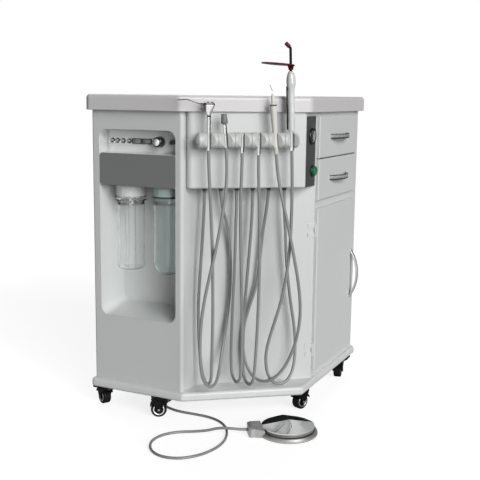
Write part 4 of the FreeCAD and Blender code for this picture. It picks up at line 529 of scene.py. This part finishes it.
# How each finish is made, its colours, and the maker's other values in order or by name
FINISH_TABLE = {
    "Body Panel": (moulded, "body", 0.38, 0.02, 1400, 1.2e-5),
    "White Moulding": (moulded, "moulding", 0.32, 0.02, 1100, 4e-6, 0.15),
    "Inside Panel": (moulded, (0.55, 0.55, 0.54), 0.5),
    "Dark Plate": (two_sides, (0.19, 0.2, 0.195), (0.06, 0.061, 0.061), POST.x, 0.5),
    "Black Plastic": (moulded, grey(0.012), 0.3, 0.1, 1800, {"coat": 0.2}),
    "Rocker Plastic": (moulded, (0.26, 0.26, 0.25), 0.4),
    "Dark Metal": (metal, (0.09, 0.085, 0.08), 0.22),
    "Brushed Handle": (metal, (0.6, 0.605, 0.61), 0.33, 0.12, {"share": 0.55}),
    "Upper Bow": (bow_metal_painted_shading, "drawer_upper_handle"),
    "Lower Bow": (bow_metal_painted_shading, "drawer_lower_handle"),
    "Syringe Metal": (syringe_metal_painted_reflections,),
    "Alcove Liner": (liner_painted_light_and_shade,),
    "Apron White": (moulded, (0.655, 0.665, 0.665), 0.34, 0.02, 1100, 4e-6, 0.1),
    "White Base": (moulded, (0.73, 0.74, 0.74), 0.34, 0.02, 1100, 4e-6, 0.1),
    "Instrument Bar": (moulded, (0.62, 0.63, 0.615), 0.42, 0.04, 800, {"coat": 0.1}),
    "Gland Rubber": (moulded, grey(0.05), 0.6, 0.1, 1500, 5e-5),
    "Hose Grey": (moulded, "hose", 0.3, 0.08, 500, {"coat": 0.3}),
    "Cap Plastic": (two_sides, (0.72, 0.73, 0.73), (0.4, 0.5, 0.485), POST.x - CAP_BORDER, 0.35),
    "Teal Seal": (moulded, (0.015, 0.05, 0.045)),
    "Ivory Handpiece": (two_sides, (0.73, 0.72, 0.665), (0.2, 0.2, 0.19), BAR_HEIGHT + SCALER_BORDER, 0.25, "Z"),
    "White Handpiece": (moulded, (0.72, 0.735, 0.735), 0.22, 0.02, 900, 1e-5, 0.5),
    "Grey Cap": (moulded, (0.2, 0.2, 0.205), 0.42, 0.05),
    "Green Button": (moulded, "button", 0.25, 0.05, {"coat": 0.5}),
    "Caster Black": (moulded, (0.006, 0.006, 0.0065), 0.42, 0.1, 900, 3e-5, {"dust": 0.01, "shine": 0.08}),
    "Tyre": (moulded, grey(0.01), 0.55, 0.15, 600, 1e-4, {"dust": 0.02, "shine": 0.12}),
    "Jet Black": (moulded, grey(0.005), 0.45, 0.1, 900, 1e-5, {"shine": 0.15}),
    "Tread Rubber": (moulded, grey(0.004), 0.5, 0.15, 700, 5e-5, {"shine": 0.08}),
    "Axle End": (metal, grey(0.2), 0.4),
    "Back Cover": (moulded, (0.5, 0.51, 0.51), 0.45, 0.04, 1500, 4e-5),
    "Machine Paint": (moulded, (0.07, 0.085, 0.1), 0.35, 0.08, 500, 5e-5),
    "Pedal Casting": (metal, (0.4, 0.4, 0.39), 0.46, 0.1, (1.0, 1.0, 1.0), 2e-5, 0.7),
    "Tip Red": (moulded, (0.12, 0.006, 0.014), {"shine": 0.3}),
    "Chrome": (metal, (0.78, 0.785, 0.79), 0.07, 0.02, {"depth": 2e-6}),
    "Pressed Steel": (metal, grey(0.72), 0.16, 0.12, (30.0, 1.0, 1.0)),
    "Satin Metal": (metal, (0.78, 0.78, 0.79), 0.32, 0.12),
    "Pedal Edge Painted Reflection": (moulded, (0.19, 0.19, 0.185)),
    "Zinc Steel": (metal, grey(0.52), 0.35, 0.2),
    "Painted Steel": (moulded, "body", 0.4, 0.03, 1400, 1e-5),
    "Needle": (moulded, (0.25, 0.01, 0.01), 0.4),
    "Clear Bottle": (clear, (0.985, 0.992, 0.99), 0.015),
    "Tinted Bottle": (clear, (0.93, 0.985, 0.98), 0.015),
    "Gauge Lens": (clear, grey(0.97), 0.02),
    "Shield": (clear, "shield", 0.35, 1.4, 0.12, 0.02),
    "Dial White": (moulded, (0.78, 0.78, 0.75), 0.5),
}


@cache
def finish(name):
    """Each finish is made once and shared."""
    maker, *values = FINISH_TABLE[name]
    named = values.pop() if values and isinstance(values[-1], dict) else {}
    return maker(name, *values, **named)


def repaint(name, *nodes):
    """Gives CAD nodes their finish."""
    for node in nodes:
        for slot in frame["nodes"][node].material_slots:
            slot.material = finish(name)


# ---- meshes
def new_object(name, data):
    """Object of the scene with its data."""
    made = bpy.data.objects.new(name, data)
    bpy.context.scene.collection.objects.link(made)
    return made


def mesh_piece(name, build, material, smooth=True, bevel=0.0):
    """New object from a bmesh that build(bm) fills in."""
    bm = bmesh.new()
    build(bm)
    bmesh.ops.recalc_face_normals(bm, faces=bm.faces)
    mesh = bpy.data.meshes.new(name)
    bm.to_mesh(mesh)
    bm.free()
    mesh.materials.append(material)
    piece = new_object(name, mesh)
    mesh.polygons.foreach_set("use_smooth", [smooth] * len(mesh.polygons))
    if bevel:
        rounding = piece.modifiers.new("Rounded edges", "BEVEL")
        rounding.width = bevel
        rounding.segments = 2
        rounding.limit_method = "ANGLE"
        rounding.angle_limit = math.radians(40)
    return piece


def riding(name, build, material, body, **looks):
    """Piece that moves with a body."""
    piece = mesh_piece(name, build, finish(material), **looks)
    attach(piece, body)


def turned(name, material, body, places, profile, sides, smooth=True):
    """Turned piece at each of its places, moving with a body."""
    def build(bm):
        for place in places:
            lathe(bm, profile, place, sides)

    riding(name, build, material, body, smooth=smooth)


def placed(origin, x, y, z):
    """Matrix of a local frame from its origin and its three directions."""
    return Matrix.Translation(origin) @ Matrix((x, y, z)).transposed().to_4x4()


def axes(origin, along_z, along_x=None):
    """Matrix of a local frame from its origin and its Z direction."""
    z = Vector(along_z).normalized()
    x = Vector(along_x) if along_x is not None else z.orthogonal()
    x = (x - z * x.dot(z)).normalized()
    return placed(origin, x, z.cross(x), z)


def raised(height):
    """Shift along Z."""
    return Matrix.Translation((0, 0, height))


def polar(radius, angle, height=0.0):
    """Point at an angle round the Z axis."""
    return Vector((radius * math.cos(angle), radius * math.sin(angle), height))


def lathe(bm, profile, place, sides):
    """Surface of revolution of (radius, height) points; a zero radius closes it."""
    rings = []
    for radius, height in profile:
        count = sides if radius else 1
        rings.append([bm.verts.new(place @ polar(radius, 2 * math.pi * i / sides, height)) for i in range(count)])
    for low, high in zip(rings, rings[1:]):
        for i in range(sides):
            j = (i + 1) % sides
            around = [low[i % len(low)], low[j % len(low)], high[j % len(high)], high[i % len(high)]]
            if len(set(around)) > 2:
                bm.faces.new(dict.fromkeys(around))


def skin(bm, rings):
    """Closed surface through rings of points."""
    rings = [[bm.verts.new(point) for point in ring] for ring in rings]
    for a, b in zip(rings, rings[1:]):
        for i in range(len(a)):
            j = (i + 1) % len(a)
            bm.faces.new([a[i], a[j], b[j], b[i]])
    bm.faces.new(rings[0][::-1])
    bm.faces.new(rings[-1])


def slab(bm, outline, place, thickness):
    """Flat plate of (x, y) corners, from z = 0 to its thickness."""
    skin(bm, [[place @ Vector((x, y, z)) for x, y in outline] for z in (0, thickness)])


def rectangle(left, low, right, high):
    return [(left, low), (right, low), (right, high), (left, high)]


def rounded_corners(width, height, radius):
    """Outline of a rectangle with seven points round each corner."""
    x, y = width / 2 - radius, height / 2 - radius
    points = [polar(radius, math.radians(15 * i)) for i in range(7)]
    outline = []
    for cx, cy in ((x, y), (-x, y), (-x, -y), (x, -y)):
        outline += [(cx + point.x, cy + point.y) for point in points]
        points = [Vector((-point.y, point.x)) for point in points]
    return outline


def route_line(name, points):
    """Points of the smooth line that a hose follows."""
    curve = bpy.data.curves.new(name, "CURVE")
    curve.dimensions = "3D"
    curve.resolution_u = 10
    spline = curve.splines.new("NURBS")
    spline.points.add(len(points) - 1)
    for knot, point in zip(spline.points, points):
        knot.co = (*point, 1.0)
    spline.order_u = 3
    spline.use_endpoint_u = True
    holder = new_object(name, curve)
    bpy.context.view_layer.update()
    mesh = bpy.data.meshes.new_from_object(holder)
    line = [vertex.co.copy() for vertex in mesh.vertices]
    bpy.data.objects.remove(holder)
    bpy.data.meshes.remove(mesh)
    bpy.data.curves.remove(curve)
    return line


def tube(bm, line, radius, sides):
    """Round tube along a line, with closed ends."""
    directions = [(b - a).normalized() for a, b in zip(line, line[1:])]
    directions.append(directions[-1])
    side = directions[0].orthogonal().normalized()
    turns = [2 * math.pi * k / sides for k in range(sides)]
    rings = []
    for i, (point, ahead) in enumerate(zip(line, directions)):
        if i:
            ahead = (directions[i - 1] + ahead).normalized()
        side = (side - ahead * side.dot(ahead)).normalized()
        other = ahead.cross(side)
        rings.append([point + (side * math.cos(turn) + other * math.sin(turn)) * radius for turn in turns])
    skin(bm, rings)


def length_of(line):
    return sum((b - a).length for a, b in zip(line, line[1:]))


def instrument_axes(name):
    """Local frame of an instrument: Z up its axis, X away from the post."""
    holder, lean = INSTRUMENTS[name]
    angle = math.radians(lean)
    axis = UP * math.cos(angle) - ALONG * math.sin(angle)
    return axes(front(HOLDER_FIRST + HOLDER_PITCH * holder, INSTRUMENT_OUT, BAR_HEIGHT), axis, ALONG)


# ---- pieces
class DENTAL_OT_cabinet(bpy.types.Operator):
    """Finishes the cabinet, worktop, base and apron"""
    bl_idname = "dental_unit.cabinet"
    bl_label = "Cabinet"

    def execute(self, context):
        repaint("Body Panel", "cabinet_shell")
        repaint("Inside Panel", "inner_panels")
        repaint("White Moulding", "worktop")
        repaint("White Base", "base_plinth")
        repaint("Apron White", "instrument_apron")
        repaint("Painted Steel", "steel_fittings")
        return {"FINISHED"}


class DENTAL_OT_fronts(bpy.types.Operator):
    """Finishes the drawers, the door and their handles, and puts a black strip of painted shadow in the gap between
    the drawers
    """
    bl_idname = "dental_unit.fronts"
    bl_label = "Drawers and Door"

    def execute(self, context):
        repaint("Body Panel", "drawer_upper", "drawer_lower", "door")
        repaint("Brushed Handle", "door_handle")
        repaint("Upper Bow", "drawer_upper_handle")
        repaint("Lower Bow", "drawer_lower_handle")
        # A black strip on the shell behind the gap between the drawers is painted shadow
        above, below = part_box("drawer_upper")[0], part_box("drawer_lower")[1]
        gap, set_back, shorter = above[2] - below[2], 0.0022, 0.002
        outline = rectangle(SHELL_HIGH.x - 0.0001, above[1] + shorter, below[0] - set_back, below[1] - shorter)
        place = raised(below[2] + 0.08 * gap)
        riding("drawer_gap_painted_shadow", lambda bm: slab(bm, outline, place, 0.84 * gap), "Jet Black", ROOT, smooth=False)
        return {"FINISHED"}


class DENTAL_OT_alcove(bpy.types.Operator):
    """Finishes the bottle alcove, its caps and its bottles"""
    bl_idname = "dental_unit.alcove"
    bl_label = "Bottle Alcove"

    def execute(self, context):
        repaint("Alcove Liner", "alcove_liner")
        repaint("Cap Plastic", "bottle_caps")
        repaint("Clear Bottle", "water_bottle")
        repaint("Tinted Bottle", "waste_bottle")
        for node in ("water_bottle", "waste_bottle"):
            bottle = frame["nodes"][node]
            bottle.visible_shadow = bottle.visible_diffuse = False
        middle = middle_of("waste_bottle")
        place = Matrix.Translation((middle.x, middle.y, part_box("bottle_caps")[0][2]))
        turned("waste_cap_seal", "Teal Seal", ROOT, [place], SEAL, 64)
        return {"FINISHED"}


class DENTAL_OT_controls(bpy.types.Operator):
    """Finishes the switches, the regulator knob and the plates they stand on"""
    bl_idname = "dental_unit.controls"
    bl_label = "Controls"

    def execute(self, context):
        toggles = [f"toggle_{i}" for i in range(1, 5)]
        repaint("Dark Plate", "panel_plates")
        repaint("Black Plastic", "panel_fittings", "regulator_knob")
        repaint("Satin Metal", *toggles)
        repaint("Rocker Plastic", "rocker_1", "rocker_2")
        pivots = [Vector(joint_of(toggle)["pos_m"]) for toggle in toggles]
        seats = [axes(pivot + Vector((0, PIVOT_OUT, 0)), (0, -1, 0), (1, 0, 0)) for pivot in pivots]
        turned("toggle_collars", "Dark Metal", ROOT, seats, COLLAR, 32)
        middle = middle_of("regulator_knob")
        middle.y = corners("regulator_knob")[0].y
        place = axes(middle, (0, -1, 0), (1, 0, 0))
        turned("knob_cap", "Satin Metal", "regulator_knob", [place], KNOB_CAP, 40)
        outline, on_cap = rectangle(-0.0006, 0.0022, 0.0006, 0.0074), place @ raised(0.0012)
        riding("knob_pointer", lambda bm: slab(bm, outline, on_cap, 0.0004), "Black Plastic", "regulator_knob",
               smooth=False)
        return {"FINISHED"}


class DENTAL_OT_gauge(bpy.types.Operator):
    """Adds the gauge's dial, scale and lens, and finishes the power button"""
    bl_idname = "dental_unit.gauge"
    bl_label = "Gauge and Power Button"

    def execute(self, context):
        repaint("Green Button", "power_button")
        repaint("Needle", "gauge_needle")
        centre = beside_post(FRONT_LENGTH * ALONG.x, FRONT_LENGTH * ALONG.y + GAUGE_BACK, GAUGE_HEIGHT)
        place = axes(centre, (1, 0, 0), (0, 1, 0))
        turned("gauge_dial", "Dial White", ROOT, [place], DIAL, 64, smooth=False)

        def scale(bm):
            intervals, low_end, sweep, outer = 40, 225, 270, 0.0156
            for i in range(intervals + 1):
                inner, half = (0.0136, 0.00014) if i % 5 else (0.0118, 0.00028)
                turn = Matrix.Rotation(math.radians(low_end - sweep * i / intervals), 4, "Z")
                mark = place @ turn @ raised(0.00132)
                slab(bm, rectangle(inner, -half, outer, half), mark, 0.00012)

        riding("gauge_scale", scale, "Black Plastic", ROOT, smooth=False)
        turned("gauge_lens", "Gauge Lens", ROOT, [place], LENS, 64)
        return {"FINISHED"}


class DENTAL_OT_instruments(bpy.types.Operator):
    """Finishes the instruments, their bar and the small pieces on them"""
    bl_idname = "dental_unit.instruments"
    bl_label = "Instruments"

    def execute(self, context):
        repaint("Instrument Bar", "instrument_holders")
        repaint("Gland Rubber", "hose_glands")
        repaint("Syringe Metal", "syringe")
        repaint("Dark Metal", "air_button", "water_button")
        repaint("Chrome", "turbine_connector_a", "turbine_connector_b", "motor_coupling")
        repaint("Ivory Handpiece", "scaler")
        repaint("White Handpiece", "curing_light")
        repaint("Shield", "light_shield")
        for name, material, body, sides, profile in TRIM:
            turned(name, material, body, [instrument_axes(body)], profile, sides)
        self.lamp_trim(instrument_axes("curing_light"))
        return {"FINISHED"}

    def lamp_trim(self, place):
        """Sleeve and tip of the bent light guide, and the strip of switches."""
        def guide(bm):
            line = [Vector((0, 0, z)) for z in (0.1682, 0.19, 0.21)]
            for i in range(6):
                bend = polar(GUIDE_BEND, math.radians(9 * i))
                line.append(Vector((bend.x - GUIDE_BEND, 0, 0.22069 + bend.y)))
            line.append(self.guide_end(0.005))
            tube(bm, [place @ point for point in line], 0.0033, 20)

        riding("light_guide_sleeve", guide, "Jet Black", "curing_light")
        seat = place @ axes(self.guide_end(0.004), (-1, 0, 1))
        turned("light_guide_tip", "Tip Red", "curing_light", [seat], GUIDE_TIP, 32)
        outline = rounded_corners(0.1066, 0.0056, 0.0015)
        side = place @ axes(Vector((-0.0086, 0, 0.079)), (-1, 0, 0), (0, 0, 1))
        riding("lamp_switch_strip", lambda bm: slab(bm, outline, side, 0.0032), "Jet Black", "curing_light",
               bevel=0.0003)

    def guide_end(self, reach):
        """Point along the light guide's bent end, in the lamp's own frame."""
        slant = 0.7071 * reach
        return Vector((-slant, 0, 0.224 + slant))


class DENTAL_OT_hoses(bpy.types.Operator):
    """Lays the instrument hoses and the pedal's hose"""
    bl_idname = "dental_unit.hoses"
    bl_label = "Hoses"

    def execute(self, context):
        for (name, route), owner in zip(HOSE_ROUTES.items(), INSTRUMENTS):
            points = [front(*point) for point in metres(route)]
            hose = self.hose(name, points, sizes().hose_diameter)
            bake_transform(hose)
        points = [beside_post(*point) for point in metres(PEDAL_HOSE_ROUTE)]
        hose = self.hose("hose_pedal", points, sizes().pedal_hose_diameter)
        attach(hose, ROOT)
        return {"FINISHED"}

    def hose(self, node, points, diameter):
        line = route_line(node + "_line", points)
        name, sides = node.replace("hose_", "") + "_hose", sizes().hose_sides
        piece = mesh_piece(name, lambda bm: tube(bm, line, diameter / 2, sides), finish("Hose Grey"))
        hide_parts(node)
        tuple(line[0])
        round(length_of(line), 3)
        return piece


class DENTAL_OT_casters(bpy.types.Operator):
    """Finishes the castors and adds their hoods, bolts, rings and axle ends"""
    bl_idname = "dental_unit.casters"
    bl_label = "Castors"

    def execute(self, context):
        repaint("Caster Black", "caster_plates")
        for name in frame["nodes"]:
            if name.startswith("caster_wheel_"):
                repaint("Tyre", name)
                self.hub(name)
                self.hood(name)
        return {"FINISHED"}

    def hub(self, node):
        """Bright ring on each face of a wheel, and the axle's domed ends on the fork."""
        joint = joint_of(node)
        centre, axis = Vector(joint["pos_m"]), Vector(joint["axis"])
        for side, end in ((-1, "a"), (1, "b")):
            place = axes(centre + axis * side * WHEEL_FACE, axis * side)
            turned(f"{node}_ring_{end}", "Satin Metal", node, [place], WHEEL_RING, 48)
            on_fork = place @ raised(FORK_FACE - WHEEL_FACE - OVERLAP)
            turned(f"{node}_bolt_{end}", "Axle End", joint["parent"], [on_fork], AXLE_END, 24)

    def hood(self, wheel):
        """Fork of one castor: funnel under its plate, curved hood over the wheel and two tapered legs."""
        node = wheel.replace("wheel", "fork")
        axle, swivel = [Vector(joint_of(child)["pos_m"]) for child in (wheel, node)]
        trail = Vector((axle.x - swivel.x, axle.y - swivel.y, 0))
        place = axes(Vector((swivel.x, swivel.y, 0)), UP, trail)
        top, reach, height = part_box(node)[1][2], trail.length, axle.z
        leg = [(-0.02, top - 0.001), (reach + 0.021, top - 0.001), (reach + 0.019, top - 0.007),
               (reach + 0.0135, height + 0.014), (reach + 0.0085, height + 0.004), (reach + 0.005, height - 0.0035),
               (reach, height - 0.0058), (reach - 0.005, height - 0.0035), (reach - 0.0085, height + 0.004),
               (reach - 0.0135, height + 0.014), (-0.017, top - 0.007)]

        def fork(bm):
            lathe(bm, [(radius, top + drop) for radius, drop in FUNNEL], place, 56)
            upright = place @ Matrix.Rotation(math.radians(90), 4, "X")
            for start in (FORK_FACE, FORK_WALL - FORK_FACE):
                slab(bm, leg, upright @ raised(-start), FORK_WALL)
            outer, inner, arc_start, arc_step = 0.0255, 0.0233, 22, 6.4
            rings = []
            for i in range(21):
                spoke = polar(1.0, math.radians(arc_start + arc_step * i))
                rings.append([place @ Vector((reach + radius * spoke.x, side * FORK_FACE, height + radius * spoke.y))
                              for radius, side in ((outer, -1), (outer, 1), (inner, 1), (inner, -1))])
            skin(bm, rings)

        piece = mesh_piece(node.replace("caster_fork", "castor_hood"), fork, finish("Caster Black"), smooth=False,
                           bevel=0.0007)
        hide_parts(node)
        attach(piece, node)
        downward = Matrix.Rotation(math.pi, 4, "X")
        seats = [Matrix.Translation((swivel.x + x, swivel.y + y, top + 0.0003)) @ downward
                 for x in (-BOLT_OFFSET, BOLT_OFFSET) for y in (-BOLT_OFFSET, BOLT_OFFSET)]
        turned(node.replace("caster_fork", "castor_bolts"), "Satin Metal", ROOT, seats, PLATE_BOLT, 20)


class DENTAL_OT_pedal(bpy.types.Operator):
    """Finishes the foot pedal and adds its tread, dark lines of painted shade along its folds, and a painted dark
    reflection round its plate's side wall
    """
    bl_idname = "dental_unit.pedal"
    bl_label = "Foot Pedal"

    def execute(self, context):
        repaint("Pedal Casting", "pedal_base")
        repaint("Pressed Steel", "pedal_plate")
        low, high = corners("pedal_plate")
        middle = (low + high) / 2
        middle.z = 0.0
        place = axes(middle, UP, polar(1.0, PEDAL_HEADING))
        peak = Vector((0.0056, 0.0103, 0.031))
        around, rim = [[polar(PEDAL_RADIUS, math.radians(turn), 0.022) for turn in turns]
                       for turns in ((8, 90, 176), (230, 260, 311))]

        def tread(bm):
            thickness, steps = 0.0005, 10
            for a, b in zip(around, around[1:]):
                lift = (b - peak).cross(a - peak).normalized() * -thickness
                start, end = math.atan2(a.y, a.x), math.atan2(b.y, b.x)
                outline = [peak] + [self.on_facet(start + (end - start) * i / steps, peak, a, b)
                                    for i in range(steps + 1)]
                skin(bm, [[place @ point for point in outline], [place @ (point + lift) for point in outline]])

        # Black lines along the plate's folds are painted shade
        def fold_shade_lines(bm):
            tube(bm, [place @ peak.lerp(rim[0], share) for share in (0.34, 0.97)], SHADE_LINE_RADIUS, 8)
            elbow, end = peak.lerp(rim[1], 0.5) + Vector((0.0065, -0.001, 0)), rim[1] + Vector((-0.0035, 0.003, 0))
            elbow.z = self.height_at(elbow, peak, rim[1], rim[2])
            end.z = self.height_at(end, peak, rim[0], rim[1])
            tube(bm, [place @ point for point in (peak.lerp(elbow, 0.12), elbow)], SHADE_LINE_RADIUS, 8)
            tube(bm, [place @ point for point in (elbow, end)], 0.0006, 8)

        riding("pedal_tread", tread, "Tread Rubber", "pedal_plate", smooth=False)
        riding("pedal_fold_painted_shade", fold_shade_lines, "Black Plastic", "pedal_plate")
        # Grey ring over the plate's side wall: painted dark reflection of the pressed steel
        inner, outer = [(high.x - low.x) / 2 + step for step in (-OVERLAP, 0.0003)]
        side_wall_reflection = [(inner, 0.0136), (outer, 0.0138), (outer, 0.0196), (inner, 0.0198)]
        turned("pedal_edge_painted_reflection", "Pedal Edge Painted Reflection", "pedal_plate", [place], side_wall_reflection, 96)
        return {"FINISHED"}

    def height_at(self, point, peak, a, b):
        """Height of a facet's plane above a point."""
        normal = (a - peak).cross(b - peak)
        return peak.z - (normal.x * (point.x - peak.x) + normal.y * (point.y - peak.y)) / normal.z

    def on_facet(self, turn, peak, a, b):
        """Point just inside the plate's edge, on a facet's plane."""
        point = polar(PEDAL_RADIUS - OVERLAP, turn)
        point.z = self.height_at(point, peak, a, b)
        return point


class DENTAL_OT_back(bpy.types.Operator):
    """Finishes the service cover, its screws and the compressor behind it"""
    bl_idname = "dental_unit.back"
    bl_label = "Back Cover"

    def execute(self, context):
        repaint("Back Cover", "back_cover")
        repaint("Machine Paint", "compressor")
        low, high = corners("back_cover")
        seats = [axes(Vector((x, SHELL_HIGH.y + 0.003, z)), (0, 1, 0), (1, 0, 0))
                 for x in (low.x + SCREW_INSET, high.x - SCREW_INSET)
                 for z in (low.z + SCREW_INSET, (low.z + high.z) / 2, high.z - SCREW_INSET)]
        turned("back_cover_screws", "Zinc Steel", ROOT, seats, COVER_SCREW, 24)
        return {"FINISHED"}


# ---- stage
class DENTAL_OT_stage(bpy.types.Operator):
    """Adds the floor, the lamps, the world and the camera"""
    bl_idname = "dental_unit.stage"
    bl_label = "Stage"

    def execute(self, context):
        scene = context.scene
        scene.view_settings.view_transform = "Standard"
        self.floor()
        self.world(scene)
        for lamp in LAMPS:
            self.lamp(*lamp)
        self.camera(scene)
        return {"FINISHED"}

    def floor(self):
        reach, thickness, sunk = 9, 0.02, 0.0205
        material, tree, shader = blank_material("Pale Floor")
        fill(tree, shader, {
            "Base Color": (*grey(0.38), 1), "Roughness": 0.9, "Specular IOR Level": 0.0,
            "Emission Color": (1, 1, 1, 1),
            "Emission Strength": maths(tree, "MULTIPLY", self.seen(tree, object_place(tree)), FLOOR_GLOW)})
        outline, place = rectangle(-reach, -reach, reach, reach), raised(-sunk)
        mesh_piece("floor", lambda bm: slab(bm, outline, place, thickness), material, smooth=False)

    def seen(self, tree, place):
        """One for rays that look at the backdrop; metal sees it in broad bright and dark bands."""
        rays = tree.nodes.new("ShaderNodeLightPath").outputs
        level = vector_math(tree, "NORMALIZE", vector_math(tree, "MULTIPLY", place, (1.0, 1.0, 0.0)))
        sideways = vector_math(tree, "DOT_PRODUCT", level, RIGHTWARD, output="Value")
        onward = vector_math(tree, "DOT_PRODUCT", level, HEADING, output="Value")
        steep = vector_math(tree, "DOT_PRODUCT", place, UP, output="Value")
        metal_sees = rays["Is Glossy Ray"]
        for value, *ends in ((sideways, 0.3, 0.75, 1.0, 0.05), (sideways, -0.98, -0.85, 0.25, 1.0),
                             (steep, 0.25, 0.85, 1.0, 0.3),
                             (maths(tree, "SUBTRACT", onward, steep), -0.6, -0.2, 1.0, 0.2)):
            metal_sees = maths(tree, "MULTIPLY", metal_sees, fade(tree, value, *ends))
        other = maths(tree, "MAXIMUM", metal_sees, rays["Is Transmission Ray"])
        direct = maths(tree, "LESS_THAN", rays["Diffuse Depth"], 0.5)
        return maths(tree, "MAXIMUM", rays["Is Camera Ray"], maths(tree, "MULTIPLY", other, direct))

    def world(self, scene):
        """White backdrop, with a little light for all other rays."""
        scene.world = bpy.data.worlds.new("Studio")
        scene.world.use_nodes = True
        tree = scene.world.node_tree
        place = tree.nodes.new("ShaderNodeTexCoord").outputs["Generated"]
        backdrop = maths(tree, "MULTIPLY", self.seen(tree, place), BACKDROP_GLOW)
        fill(tree, tree.nodes["Background"], {
            "Color": (1, 1, 1, 1), "Strength": maths(tree, "ADD", backdrop, FILL_LIGHT)})

    def lamp(self, name, azimuth, height, strength, spread):
        """Large soft source a long way off, from its azimuth and height in degrees."""
        light = bpy.data.lights.new(name, "SUN")
        light.energy = strength
        light.angle = math.radians(spread)
        lamp = new_object(name, light)
        rise = math.radians(height)
        away = polar(math.cos(rise), math.radians(azimuth), math.sin(rise))
        lamp.location = away * LAMP_DISTANCE
        lamp.rotation_euler = away.to_track_quat("Z", "Y").to_euler()

    def camera(self, scene):
        ahead = HEADING * math.cos(CAMERA_PITCH) - UP * math.sin(CAMERA_PITCH)
        right = HEADING.cross(UP).normalized()
        up = right.cross(ahead)
        x = right * math.cos(CAMERA_ROLL) + up * math.sin(CAMERA_ROLL)
        y = up * math.cos(CAMERA_ROLL) - right * math.sin(CAMERA_ROLL)
        data = bpy.data.cameras.new("Camera")
        data.sensor_width = 36.0
        data.sensor_fit = "AUTO"
        data.lens = data.sensor_width / 2 / math.tan(sizes().lens_angle / 2)
        camera = new_object("Camera", data)
        camera.matrix_world = placed(beside_post(*CAMERA_PLACE), x, y, -ahead)
        scene.camera = camera


PIECES = (DENTAL_OT_cabinet, DENTAL_OT_fronts, DENTAL_OT_alcove, DENTAL_OT_controls, DENTAL_OT_gauge,
          DENTAL_OT_instruments, DENTAL_OT_hoses, DENTAL_OT_casters, DENTAL_OT_pedal, DENTAL_OT_back,
          DENTAL_OT_stage)


class DENTAL_PT_panel(bpy.types.Panel):
    """Lists the sizes, the colours and the pieces of the unit"""
    bl_label = "Dental Unit"
    bl_idname = "DENTAL_PT_panel"
    bl_space_type = "VIEW_3D"
    bl_region_type = "UI"
    bl_category = "Dental Unit"

    def draw(self, context):
        layout = self.layout
        for group in (context.scene.dental_unit_sizes, context.scene.dental_unit_colours):
            box = layout.box()
            for name in group.__annotations__:
                box.prop(group, name)
        for piece in PIECES:
            layout.operator(piece.bl_idname)


CLASSES = (DentalUnitSizes, DentalUnitColours) + PIECES + (DENTAL_PT_panel,)


def register():
    for cls in CLASSES:
        bpy.utils.register_class(cls)
    bpy.types.Scene.dental_unit_sizes = PointerProperty(type=DentalUnitSizes)
    bpy.types.Scene.dental_unit_colours = PointerProperty(type=DentalUnitColours)


def unregister():
    del bpy.types.Scene.dental_unit_colours
    del bpy.types.Scene.dental_unit_sizes
    for cls in reversed(CLASSES):
        bpy.utils.unregister_class(cls)


def main():
    register()
    for piece in PIECES:
        area, name = piece.bl_idname.split(".")
        getattr(getattr(bpy.ops, area), name)()


if __name__ == "__main__":
    main()
